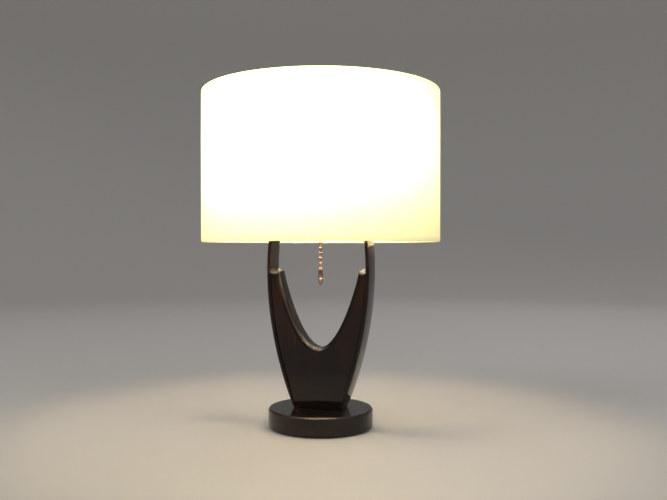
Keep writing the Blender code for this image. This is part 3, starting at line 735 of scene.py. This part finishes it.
def make_arm(side, word):
    heights = levels(DISC_TOP + GAP, ARM_TOP, 110)
    outer = [(arm_half_width(z), z) for z in heights]
    inner = [(arm_inner(z), z) for z in heights]
    edges = [min(ARM_EDGE, arm_thickness(z) * 0.3) for z in heights]
    mesh = slab([*outer, *reversed(inner)], ARM_DEPTH, [*edges, *reversed(edges)], 5)
    if side < 0:
        mesh.transform(Matrix.Scale(-1, 4, (1, 0, 0)))
        mesh.flip_normals()
    holes = []
    for z in DOWEL_HEIGHTS:
        x = arm_inner(z)
        holes.append(drill(DOWEL_R + GAP, (side * (x - 8), 0, z), (side * (x + DOWEL_IN_ARM + GAP), 0, z)))
    for place in ("front", "back"):
        head, _ = screw_place(f"bar_screw_{word}_{place}")
        sunk, shank = Vector((side * 2.9, 0, 0)), Vector((side * 12, 0, 0))
        holes.append(drill(4.0, head - sunk, head + shank, 32))
        holes.append(drill(2.2, head - shank, head, 24))
    mesh = combined(mesh, *holes)
    run = [0.0]
    for low, high in zip(ARM_OUTER, ARM_OUTER[1:]):
        run.append(run[-1] + (high - low).length)

    def board(co):
        z = min(max(co.z / MM, ARM_OUTER[0].y), ARM_OUTER[-1].y)
        i = next(k for k, point in enumerate(ARM_OUTER[1:]) if z <= point.y)
        share = (z - ARM_OUTER[i].y) / (ARM_OUTER[i + 1].y - ARM_OUTER[i].y)
        along = run[i] + (run[i + 1] - run[i]) * share
        across = abs(co.x) / MM - arm_half_width(z)
        return (co.y + side * 0.2, across * MM + 0.3 * side, along * MM)

    finish_piece(f"arm_{word}", lay_grain(mesh, board))


def domed(y, z):
    """The height of a horn's point once its tip falls away towards the front and the back."""
    fall = 1 - math.sqrt(max(0.0, 1 - (2 * y / YOKE_DEPTH) ** 2))
    return z - HORN_DOME * fall * max(0.0, (z - DOME_BOTTOM) / (HORN_TOP - DOME_BOTTOM))


def make_yoke():
    sides = levels(DISC_TOP + GAP, HORN_TOP - 4.0, 70)
    side = [(arm_inner(z) - GAP, z) for z in sides]
    horn = arc((YOKE_CURVE[3][0] + HORN_R, HORN_TOP - HORN_R), HORN_R, 90, 180, 14)
    valley = [tuple(point) for point in reversed(bezier(YOKE_CURVE, 60))]
    top = [(arm_inner(HORN_TOP) - GAP, HORN_TOP)]
    if horn[0][0] < top[0][0] - 1:
        top.append(((horn[0][0] + top[0][0]) / 2, HORN_TOP))
    run = [*top, *horn[:-1], *valley]
    softness = [YOKE_ROUND * min(1.0, HORN_ROUND_SHARE + (HORN_TOP - z) / 40) for _, z in run]
    softness[0] = 1.0
    right, right_edges = [*side, *run], [JOINT_EDGE] * len(side) + softness
    outline = [*right, *((-x, z) for x, z in reversed(right[:-1]))]
    edges = [*right_edges, *reversed(right_edges[:-1])]
    mesh = slab(outline, YOKE_DEPTH, edges, 10, (-0.6, -0.2, 0.2, 0.6), domed)
    holes = []
    for word in ("left", "right"):
        x, top = centre(f"yoke_bolt_{word}").x, span(f"yoke_bolt_{word}")[1].z
        holes.append(drill(3.3, (x, 0, 20), (x, 0, top + 0.5)))
    for z in DOWEL_HEIGHTS:
        for way in (-1, 1):
            x = arm_inner(z)
            holes.append(drill(DOWEL_R + GAP, (way * (x - DOWEL_IN_YOKE - GAP), 0, z), (way * (x + 5), 0, z)))
    mesh = combined(mesh, *holes)
    finish_piece("yoke_block", lay_grain(mesh, lambda co: (co.x + 0.1, co.y + 0.15, co.z)))


def make_crossbar():
    low, high = span("crossbar")
    bottom_x, top_x = arm_inner(low.z) - GAP, arm_inner(high.z) - GAP
    outline = rows_between([
        (bottom_x, low.z), (top_x, high.z), (-top_x, high.z), (-bottom_x, low.z), (bottom_x, low.z),
    ], 3.0)[:-1]
    edges = [BAR_EDGE if abs(x) < top_x - 1 else JOINT_EDGE for x, _ in outline]
    mesh = slab(outline, high.y - low.y, edges, 6)
    holes = [bore(NIPPLE_HOLE_R, low.z - 5, high.z + 5, 40)]
    for node in BAR_SCREWS:
        head, side = screw_place(node)
        holes.append(drill(2.2, head - Vector((side * 28.4, 0, 0)), head))
    mesh = combined(mesh, *holes)
    finish_piece("crossbar", lay_grain(mesh, lambda co: (co.z + 0.5, co.y + 0.25, co.x + 0.7)))


# ---- Base fittings ----

def make_felt():
    """A die-cut disc of pressed felt with a soft, slightly uneven edge and face."""
    low, high = span("base_felt")
    thick = high.z - low.z
    profile = [(0, high.z)] + rows_between([(2.0, high.z), (high.x - 0.6, high.z)], 4.0)
    profile += arc((high.x - thick / 2, low.z + thick / 2), thick / 2, 80, -80, 6)
    profile += rows_between([(high.x - 1.2, low.z), (2.0, low.z)], 2.2) + [(0, low.z)]

    def fuzz(radius, height, turn):
        spot = Vector((radius * math.cos(turn), radius * math.sin(turn), height)) * 0.8
        return radius - 0.25 * max(0.0, noise.noise(spot)) if radius > high.x - 3 else radius

    mesh = turned(profile, 220, fuzz)
    for vertex in mesh.vertices:
        if vertex.co.z < (low.z + 0.2) * MM:
            vertex.co.z += 0.12 * MM * max(0.0, noise.noise(vertex.co / MM * 0.35))
    obj = finish_piece("base_felt", mesh, 60)


def screw_mesh(head_r, head_h, shank_r, length, thread, slot):
    """A screw with its head's face at height 0, pointing down, with a domed slotted head."""
    bottom = -length
    head = filleted([
        (head_r * 0.55, 0.0), (head_r, -0.5, 0.35), (head_r, -head_h, 0.2), (shank_r, -head_h),
    ])[:-1]
    shank = rows_between([(shank_r, -head_h), (shank_r, bottom + 1.2)], thread[0] / 6)
    profile = [(0, 0), *head, *shank, (shank_r * 0.45, bottom + 0.15), (0, bottom)]
    mesh = turned(profile, 36, threaded(thread, bottom + 0.4, -head_h - 1.5))
    cut = box_mesh((-head_r - 1, -slot / 2, -head_h * 0.45), (head_r + 1, slot / 2, 1))
    return combined(mesh, cut)


def make_screws():
    for side_word, side in (("left", -1), ("right", 1)):
        for place, turn in (("front", 0.5), ("back", 1.9)):
            node = f"bar_screw_{side_word}_{place}"
            head, _ = screw_place(node)
            mesh = screw_mesh(3.6, 2.5, 1.9, 28.0, WOOD_THREAD, 0.9)
            finish_piece(node, put(mesh, head, (side, 0, 0), turn + side))
        node = f"terminal_screw_{side_word}"
        low, high = span(node)
        mesh = screw_mesh(2.6, 2.2, 1.4, 8.0, (0.8, 0.4), 0.7)
        at = (high.x if side > 0 else low.x, 0, centre(node).z)
        finish_piece(node, put(mesh, at, (side, 0, 0), 0.6 * side))
        node = f"yoke_bolt_{side_word}"
        low, high = span(node)
        mesh = screw_mesh(5.5, 3.5, 3.0, high.z - low.z, BOLT_THREAD, 1.3)
        finish_piece(node, put(mesh, (centre(node).x, 0, low.z), (0, 0, -1), 0.8))
    for number in (1, 2, 3):
        node = f"weight_screw_{number}"
        low, high = span(node)
        mesh = screw_mesh(4.0, 2.3, 1.75, high.z - low.z, WOOD_THREAD, 1.0)
        at = centre(node)
        finish_piece(node, put(mesh, (at.x, at.y, low.z), (0, 0, -1), number))


def make_bushing():
    """The cord's inlet: a flanged sleeve with a rounded mouth."""
    low, high = span("cord_bushing")
    cord_z = centre("cord_bushing").z
    flange_r = high.z - cord_z
    mesh = turned(filleted([
        (3.2, high.y, 0.8), (flange_r - 1.1, high.y, 0.4), (flange_r, high.y - 0.9, 0.5),
        (flange_r, high.y - 1.8, 0.2), (4.3, high.y - 1.8), (4.3, low.y, 0.3), (3.2, low.y, 0.3),
    ]), 48)
    finish_piece("cord_bushing", put(mesh, (0, 0, cord_z), (0, 1, 0)))


# ---- Crossbar fittings and harp ----

def make_nipple():
    low, high = span("threaded_nipple")
    bore_r, rim = 3.4, 0.5
    outer = rows_between([(high.x, high.z - rim), (high.x, low.z + rim)], LAMP_THREAD[0] / 6)
    profile = [(high.x - rim, high.z), *outer, (high.x - rim, low.z), (bore_r, low.z), (bore_r, high.z)]
    thread = threaded(LAMP_THREAD, low.z, high.z, bore_r + 0.2)
    finish_piece("threaded_nipple", turned(profile, 36, thread))

    low, high = span("nipple_nut")
    across = high.x
    hexagon = turned([(0, high.z), (across, high.z), (across, low.z), (0, low.z)], 6)
    lens = turned(filleted([
        (0, high.z), (across * 0.86, high.z, 0.3), (across * 1.01, high.z - 0.8),
        (across * 1.01, low.z + 0.8), (across * 0.86, low.z, 0.3), (0, low.z),
    ]), 72)
    nut = combined(hexagon, lens, operation="INTERSECT")
    finish_piece("nipple_nut", combined(nut, bore(NIPPLE_HOLE_R, low.z - 3, high.z + 3, 40)), 25)

    low, high = span("nipple_washer")
    ring = filleted([
        (NIPPLE_HOLE_R, high.z, 0.15), (high.x, high.z, 0.3),
        (high.x, low.z, 0.2), (NIPPLE_HOLE_R, low.z, 0.15),
    ])
    finish_piece("nipple_washer", turned(ring, 64))


def make_saddle():
    low, high = span("harp_saddle")
    plate_top, pin_r = low.z + 1.5, 1.6
    corners = filleted([
        (low.x, low.y, 5.0), (high.x, low.y, 5.0), (high.x, high.y, 5.0), (low.x, high.y, 5.0),
    ], steps=10)
    outline = rows_between([*corners, corners[0]], 4.0)[:-1]
    plate = slab(outline, 1.5, [0.35] * len(outline), 4)
    plate.transform(Matrix.Translation((0, 0, (low.z + 0.75) * MM)) @ Matrix.Rotation(math.pi / 2, 4, "X"))
    pins = []
    for x in (-HARP_LEG_X, HARP_LEG_X):
        pin = filleted([(0, high.z), (pin_r, high.z, 0.5), (pin_r, low.z + 0.7), (0, low.z + 0.7)])
        pins.append(put(turned(pin, 28), (x, 0, 0)))
    mesh = combined(joined(plate, *pins), bore(NIPPLE_HOLE_R, low.z - 5, plate_top + 2, 40))
    finish_piece("harp_saddle", mesh)


def make_harp():
    low, high = span("harp")
    leg_x, wire_r = HARP_LEG_X, 1.6
    plate_low, plate_high = high.z - 3.0, high.z
    leg = [
        (leg_x, 0, low.z), (leg_x, 0, 277), (leg_x, 0, 287), (25.4, 0, 295), (34, 0, 310), (46, 0, 328),
        (52, 0, 349), (49, 0, 371), (36, 0, 390), (18, 0, 398.6), (7, 0, 399.5),
    ]
    whole = [*leg, *((-x, y, z) for x, y, z in reversed(leg))]
    wire = pipe(through(whole, 8), wire_r, 20)
    plate = turned(filleted([(0, plate_high), (8, plate_high, 0.7), (8, plate_low, 0.7), (0, plate_low)]), 48)
    hole = bore(3.4, plate_low - 5, plate_high + 5, 32)
    finish_piece("harp", combined(joined(wire, plate), hole))

    for word, side in (("left", -1), ("right", 1)):
        low, high = span(f"harp_ferrule_{word}")
        r, waist, bore_r = 3.4, 2.9, 1.95
        ring = filleted([
            (bore_r, high.z, 0.2), (2.8, high.z, 0.25), (r, high.z - 1.2, 0.4), (r, high.z - 2.6, 0.3),
            (waist, high.z - 3.2, 0.3), (waist, high.z - 4.2, 0.3), (r, high.z - 4.8, 0.3),
            (r, low.z + 3.0, 0.3), (waist, low.z + 2.4, 0.3), (waist, low.z + 1.6, 0.3),
            (r, low.z + 1.1, 0.3), (r, low.z, 0.3), (bore_r, low.z, 0.2),
        ], steps=4, flat=0.05)
        finish_piece(f"harp_ferrule_{word}", put(turned(ring, 40), (side * leg_x, 0, 0)))

    low, high = span("harp_stud")
    thread_low = low.z + 6.4
    post = rows_between([(3.05, high.z - 0.6), (3.05, thread_low)], LAMP_THREAD[0] / 6)
    stud = [
        (0, high.z), (2.5, high.z), *post, (6.3, thread_low), (6.5, thread_low - 0.2), (6.5, low.z + 5.3),
        (6.3, low.z + 5.1), (3.05, low.z + 5.1), (3.05, low.z + 1.5), (5.3, low.z + 1.5), (5.5, low.z + 1.3),
        (5.5, low.z + 0.2), (5.3, low.z), (0, low.z),
    ]
    finish_piece("harp_stud", turned(stud, 40, threaded(LAMP_THREAD, thread_low + 0.4, high.z + 1)))


def make_finial():
    low, high = span("finial")
    ball = arc((0, low.z + 11.4), 7.0, 78, -42, 22)
    foot = filleted([
        (4.9, low.z + 5.9), (4.0, low.z + 4.9, 0.5), (5.4, low.z + 4.1, 0.4), (5.4, low.z + 3.4, 0.4),
        (4.7, low.z + 2.9, 0.3), (6.6, low.z + 1.9, 0.5), (6.6, low.z, 0.3), (3.4, low.z),
    ], steps=5, flat=0.05)[:-1]
    profile = [
        (0, high.z), (0.9, high.z - 0.05), (1.45, high.z - 0.5), *ball, *foot,
        (3.4, low.z), (3.4, low.z + 7.2), (0, low.z + 8.4),
    ]
    finish_piece("finial", turned(profile, 56), 40)


# ---- Shade ----

def make_fabric():
    """The cloth cover: one strip wrapped round the frame, hemmed over both rings and lapped at the back."""
    low, high = span("shade_fabric")
    outer = high.x - GAP
    inner, over = outer - 1.7, outer - 4.8
    first, last = low.z + 0.5, high.z - 0.5
    path = rows_between(filleted([
        (inner, last - HEM), (inner, last - 5.8, 2.0), (over, last - 3.1, 1.4), (over, last, 1.6),
        (outer, last, 1.7), (outer, first, 1.7),
        (over, first, 1.6), (over, first + 3.1, 1.4), (inner, first + 5.8, 2.0), (inner, first + HEM),
    ], steps=5, flat=0.2), 7.0)
    crest = max(i for i, (r, z) in enumerate(path) if z > last - 0.05 and r < over + 2.6)
    outward = []
    for i in range(len(path)):
        ahead = Vector(path[min(i + 1, len(path) - 1)]) - Vector(path[max(i - 1, 0)])
        outward.append(Vector((-ahead.y, ahead.x)).normalized())
    along = [0.0]
    for a, b in zip(path, path[1:]):
        along.append(along[-1] + math.dist(a, b))

    columns, lap_turn = 240, SEAM_LAP / outer
    turns = [math.tau * i / columns for i in range(columns + 1)]
    turns += [math.tau + lap_turn * i / 3 for i in (1, 2, 3)]
    bm = bmesh.new()
    cloth = bm.loops.layers.uv.new("cloth")
    grid = []
    for turn in turns:
        lift = 0.62 * min(1.0, max(0.0, (turn - math.tau + 0.02) / 0.018))
        angle = SEAM_AZIMUTH + turn
        column = []
        for (r, z), normal in zip(path, outward):
            spot = Vector((math.cos(angle) * 3, math.sin(angle) * 3, z * 0.02))
            ripple = 0.12 * noise.noise(spot) if r > outer - 0.1 else 0.0
            radius, height = r + normal.x * lift + ripple, z + normal.y * lift
            point = Vector((radius * math.cos(angle), radius * math.sin(angle), height))
            column.append(bm.verts.new(point * MM))
        grid.append(column)
    for i, (left, right) in enumerate(zip(grid, grid[1:])):
        middle = SEAM_AZIMUTH + (turns[i] + turns[i + 1]) / 2
        away = [abs(math.remainder(middle - azimuth, math.tau)) for azimuth in SPIDER_AZIMUTHS]
        at_arm = min(away) < math.radians(3)
        for j in range(len(path) - 1):
            if at_arm and j < crest:
                continue
            face = bm.faces.new((left[j], left[j + 1], right[j + 1], right[j]))
            for loop, column, row in zip(face.loops, (i, i, i + 1, i + 1), (j, j + 1, j + 1, j)):
                loop[cloth].uv = (turns[column] * outer * MM, along[row] * MM)
    bmesh.ops.delete(bm, geom=[v for v in bm.verts if not v.link_faces], context="VERTS")
    surface = added("surface", from_bmesh(bm))
    solid = surface.modifiers.new("thickness", "SOLIDIFY")
    solid.thickness = FABRIC_T * MM
    solid.offset = 0.0
    mesh = evaluated(surface)
    bpy.data.objects.remove(surface)
    obj = finish_piece("shade_fabric", mesh, 50)


def make_shade_frame():
    low, high = span("shade_liner")
    finish_piece("shade_liner", turned(tube(high.x, high.x - 0.5, low.z, high.z, 16.0), 180), 50)

    for word in ("top", "bottom"):
        low, high = span(f"shade_{word}_ring")
        wire_r = (high.z - low.z) / 2
        ring_r = high.x - wire_r
        round_wire = arc((ring_r, (low.z + high.z) / 2), wire_r, 90, -270, 20)[:-1]
        finish_piece(f"shade_{word}_ring", turned(round_wire, 144), 60)

    low, high = span("shade_spider")
    hub_low, hub_high = low.z, low.z + 2.0
    hub = turned(filleted([
        (0, hub_high), (7.2, hub_high, 0.5), (11.0, hub_high - 0.5, 0.4), (11.0, hub_low, 0.3), (0, hub_low),
    ]), 56)
    ring_r = span("shade_top_ring")[1].x - 1.3
    spokes = []
    for azimuth in SPIDER_AZIMUTHS:
        out = Vector((math.cos(azimuth), math.sin(azimuth), 0))
        middle = hub_low + 1.0
        route = [
            (8, middle), (15, middle), (22, middle), (28, middle + 0.4),
            (84, 413.6), (138, 422.6), (144, 424.6), (ring_r - 1.2, 426.5),
        ]
        points = through([out * radius + Vector((0, 0, z)) for radius, z in route], 5)
        spokes.append(pipe(points, 1.4, 16))
        weld = turned(filleted([(0, 1.2), (2.1, 0.9, 0.8), (2.1, -0.9, 0.8), (0, -1.2)], flat=0.05), 20)
        spokes.append(put(weld, out * (ring_r - 2.2) + Vector((0, 0, 426.2)), out))
    mesh = combined(joined(hub, *spokes), bore(3.5, hub_low - 3, hub_high + 3, 32))
    finish_piece("shade_spider", mesh)


# ---- Socket and switch ----

def lever_slot(near, far):
    slot = box_mesh((near, -3.5, LEVER_SLOT[0]), (far, 3.5, LEVER_SLOT[1]))
    slot.transform(Matrix.Rotation(CHAIN_AZIMUTH, 4, "Z"))
    return slot


def make_socket():
    low, high = span("socket_cap")
    cap = filleted([
        (high.x - 0.8, high.z, 0.2), (high.x, high.z, 0.3), (high.x, low.z + 9.8, 0.5),
        (15.8, low.z + 6.6, 1.5), (12.5, low.z + 2.8, 1.5), (8.5, low.z, 0.8), (NIPPLE_HOLE_R, low.z),
        (NIPPLE_HOLE_R, low.z + 1.0), (8.2, low.z + 1.0, 0.8), (11.9, low.z + 3.5, 1.2),
        (15.0, low.z + 7.0, 1.2), (high.x - 0.8, low.z + 10.1, 0.4),
    ], flat=0.1)
    finish_piece("socket_cap", turned(cap, 64), 40)

    low, high = span("socket_shell")
    r, wall = 15.9, 0.7
    rolled = []
    for z in (high.z - 8.0, high.z - 10.4, low.z + 14.5, low.z + 12.6):
        rolled += [(r, z + 0.9), (r + 0.28, z + 0.45), (r + 0.36, z), (r + 0.28, z - 0.45), (r, z - 0.9)]
    shell = [
        (16.6, high.z), (17.05, high.z - 0.25), (17.3, high.z - 1.0), (17.05, high.z - 2.2),
        (16.4, high.z - 3.1), (r, high.z - 3.7), *rolled, (r, low.z), (r - wall, low.z),
        (r - wall, high.z - 3.4), (15.8, high.z - 2.6), (16.3, high.z - 1.8), (16.3, high.z),
    ]
    mesh = combined(turned(shell, 72), lever_slot(14, 19))
    finish_piece("socket_shell", mesh, 40)

    low, high = span("socket_liner")
    liner = turned(tube(14.9, 14.4, low.z, high.z, 8.0), 64)
    finish_piece("socket_liner", combined(liner, lever_slot(13, 19)))

    low, high = span("socket_thread")
    pitch, _ = EDISON_THREAD

    def wave(radius, height, turn):
        return radius - 0.1 + 0.1 * math.cos(math.tau * height / pitch - turn)

    finish_piece("socket_thread", turned(tube(14.0, 13.6, low.z, high.z, 0.3), 56, wave), 60)


def make_guide():
    low, high = span("chain_guide")
    out = Vector((math.cos(CHAIN_AZIMUTH), math.sin(CHAIN_AZIMUTH), 0))
    ring = filleted([
        (3.4, high.z, 0.2), (4.3, high.z, 0.3), (4.3, low.z + 2.0, 0.6), (5.3, low.z + 0.3, 0.25),
        (5.0, low.z, 0.2), (4.5, low.z, 0.2), (3.4, low.z + 1.7, 0.5),
    ], steps=4, flat=0.05)
    bracket = box_mesh((17.3, -2.5, low.z + 2.4), (CHAIN_REACH - 3.8, 2.5, low.z + 5.6))
    bracket.transform(Matrix.Rotation(CHAIN_AZIMUTH, 4, "Z"))
    finish_piece("chain_guide", joined(put(turned(ring, 40), out * CHAIN_REACH), bracket))


# ---- Chain, pull and bulb ----

def beads(lowest, count, top, bottom, segments=36):
    """Beads with rolled lips on one wire, from the top down; top is None where the run ends in a bead."""
    profile = [(0, lowest + BEAD_PITCH * (count - 1) + BEAD_R)] if top is None else [
        (0, top), (0.6 * LINK_R, top - 0.12), (LINK_R, top - 0.45),
    ]
    half = math.degrees(math.asin(LINK_R / BEAD_R)) + 7
    for number in reversed(range(count)):
        middle = lowest + BEAD_PITCH * number
        capped = top is None and number == count - 1
        start = 84 if capped else 90 - half
        lip = BEAD_R * math.sin(math.radians(90 - half))
        if not capped:
            profile += [(LINK_R, middle + lip - 0.15), (LINK_R + 0.12, middle + lip - 0.02)]
        profile += arc((0, middle), BEAD_R, start, -90 + half, 20)
        profile += [(LINK_R + 0.12, middle - lip + 0.02), (LINK_R, middle - lip + 0.15)]
        if number:
            profile += [(LINK_R * 0.92, middle - BEAD_PITCH / 2)]
    return turned([*profile, (LINK_R, bottom + 0.45), (0.6 * LINK_R, bottom + 0.12), (0, bottom)], segments)


def make_chain():
    at = Vector((*centre("chain_lower").xy, 0))
    low, high = span("chain_lower")
    lowest = low.z + LOWEST_BEAD
    count = round((high.z - lowest) / BEAD_PITCH)
    finish_piece("chain_lower", put(beads(lowest, count, high.z, low.z), at), 50)
    low, high = span("chain_upper")
    count = round((high.z - low.z) / BEAD_PITCH)
    lowest = high.z - BEAD_R - BEAD_PITCH * (count - 1)
    finish_piece("chain_upper", put(beads(lowest, count, None, low.z), at), 50)

    low, high = span("bell_pull")
    body = through([
        (0.62, high.z - 0.7, 0), (1.55, high.z - 1.25, 0), (2.35, high.z - 2.6, 0), (2.75, high.z - 5.0, 0),
        (3.0, high.z - 9.4, 0), (3.15, high.z - 12.6, 0), (3.35, high.z - 14.2, 0),
    ], 5)
    collar = arc((3.1, high.z - 15.7), 0.8, 75, -75, 8)
    tip = through([
        (3.3, high.z - 16.9, 0), (2.95, high.z - 18.8, 0), (2.3, high.z - 21.2, 0), (1.5, high.z - 22.9, 0),
        (0.55, low.z + 0.08, 0),
    ], 5)
    profile = [(0, high.z), (LINK_R, high.z), (LINK_R, high.z - 0.65), *((p.x, p.y) for p in body), *collar,
               *((p.x, p.y) for p in tip), (0, low.z)]
    finish_piece("bell_pull", put(turned(profile, 56), at), 50)


def make_bulb():
    low, high = span("bulb_glass")
    r, wall = high.x, 1.0
    middle = high.z - r
    neck = [(17.6, middle - 29.6), (13.5, middle - 38.6), (12.0, middle - 45.0), (12.0, low.z)]
    outer = through([(x, z, 0) for x, z in [*arc((0, middle), r, 84, -34, 14), *neck]], 3)
    inner = []
    for point in reversed(outer):
        drop = wall if point.x < 8 and point.y > middle else 0
        inner.append((max(point.x - wall, 0.5), point.y - drop))
    profile = [(0, high.z), *((point.x, point.y) for point in outer), *inner, (0, high.z - wall)]
    finish_piece("bulb_glass", turned(profile, 56), 60)

    low, high = span("bulb_base")
    r = high.x
    outside = rows_between([(r, high.z), (r, low.z + 2.3)], 0.3)
    inside = rows_between([(r - 1.3, low.z + 2.7), (r - 1.3, high.z)], 0.6)
    profile = [*outside, (10.2, low.z), (3.0, low.z), (3.0, low.z + 0.7), (9.9, low.z + 0.7), *inside]
    thread = threaded(EDISON_THREAD, low.z + 2.0, high.z - 1.0, r - 0.6)
    finish_piece("bulb_base", turned(profile, 64, thread), 60)


# ---- Room ----

def make_room():
    """A plain pale floor that curves up into a far wall all round, with soft lamps above."""
    floor_r, corner_r, wall_top = 4200.0, 1600.0, 3600.0
    sweep = [(floor_r - corner_r + corner_r * math.sin(t), corner_r - corner_r * math.cos(t))
             for t in (math.pi / 2 * i / 16 for i in range(17))]
    profile = [*((r, z) for r, z in reversed([*sweep, (floor_r, wall_top)])), (1200.0, 0.0), (300.0, 0.0)]
    corners = []
    mesh = bpy.data.meshes.new("floor")
    segments = 96
    for i in range(segments):
        turn = math.tau * i / segments
        corners += [(r * math.cos(turn) * MM, r * math.sin(turn) * MM, z * MM) for r, z in profile]
    count = len(profile)
    faces = [tuple(range(count - 1, segments * count, count))]
    for i in range(segments):
        a, b = i * count, (i + 1) % segments * count
        faces += [(a + j, b + j, b + j + 1, a + j + 1) for j in range(count - 1)]
    mesh.from_pydata(corners, [], faces)
    mesh.shade_smooth()
    floor = added("floor", mesh)
    floor.location.z = -0.0002
    paint = Recipe("floor_paint", {
        "Base Color": (0.37, 0.362, 0.355, 1.0), "Roughness": 0.6, "Specular IOR Level": 0.3,
    })
    mesh.materials.append(paint.material)

    world = bpy.data.worlds.new("soft_sky")
    world.use_nodes = True
    sky = world.node_tree.nodes["Background"]
    sky.inputs["Color"].default_value = (1.0, 0.985, 0.97, 1.0)
    sky.inputs["Strength"].default_value = 0.68
    SCENE.world = world

    for name, at, size, power, colour in (
        ("key", (-1.5, -1.7, 2.1), 1.6, 30.0, (1.0, 0.96, 0.91)),
        ("fill", (2.0, -1.0, 1.6), 1.8, 13.0, (0.93, 0.96, 1.0)),
        ("back", (0.4, 2.0, 2.0), 1.6, 15.0, (1.0, 0.97, 0.94)),
    ):
        light = bpy.data.lights.new(name, "AREA")
        light.size = size
        light.energy = power
        light.color = colour
        obj = added(name, light)
        obj.location = at
        obj.rotation_euler = (Vector((0, 0, 0.2)) - Vector(at)).to_track_quat("-Z", "Y").to_euler()


make_camera()
MATERIALS = make_materials()
make_disc()
make_arm(-1, "left")
make_arm(1, "right")
make_yoke()
make_crossbar()
make_felt()
make_screws()
make_bushing()
make_nipple()
make_saddle()
make_harp()
make_finial()
make_fabric()
make_shade_frame()
make_socket()
make_guide()
make_chain()
make_bulb()
for cad_node in frame["nodes"].values():
    cad_node.material_slots[0].material = MATERIALS[cad_node.data.materials[0].name]
make_room()
SCENE.view_settings.view_transform = "Standard"
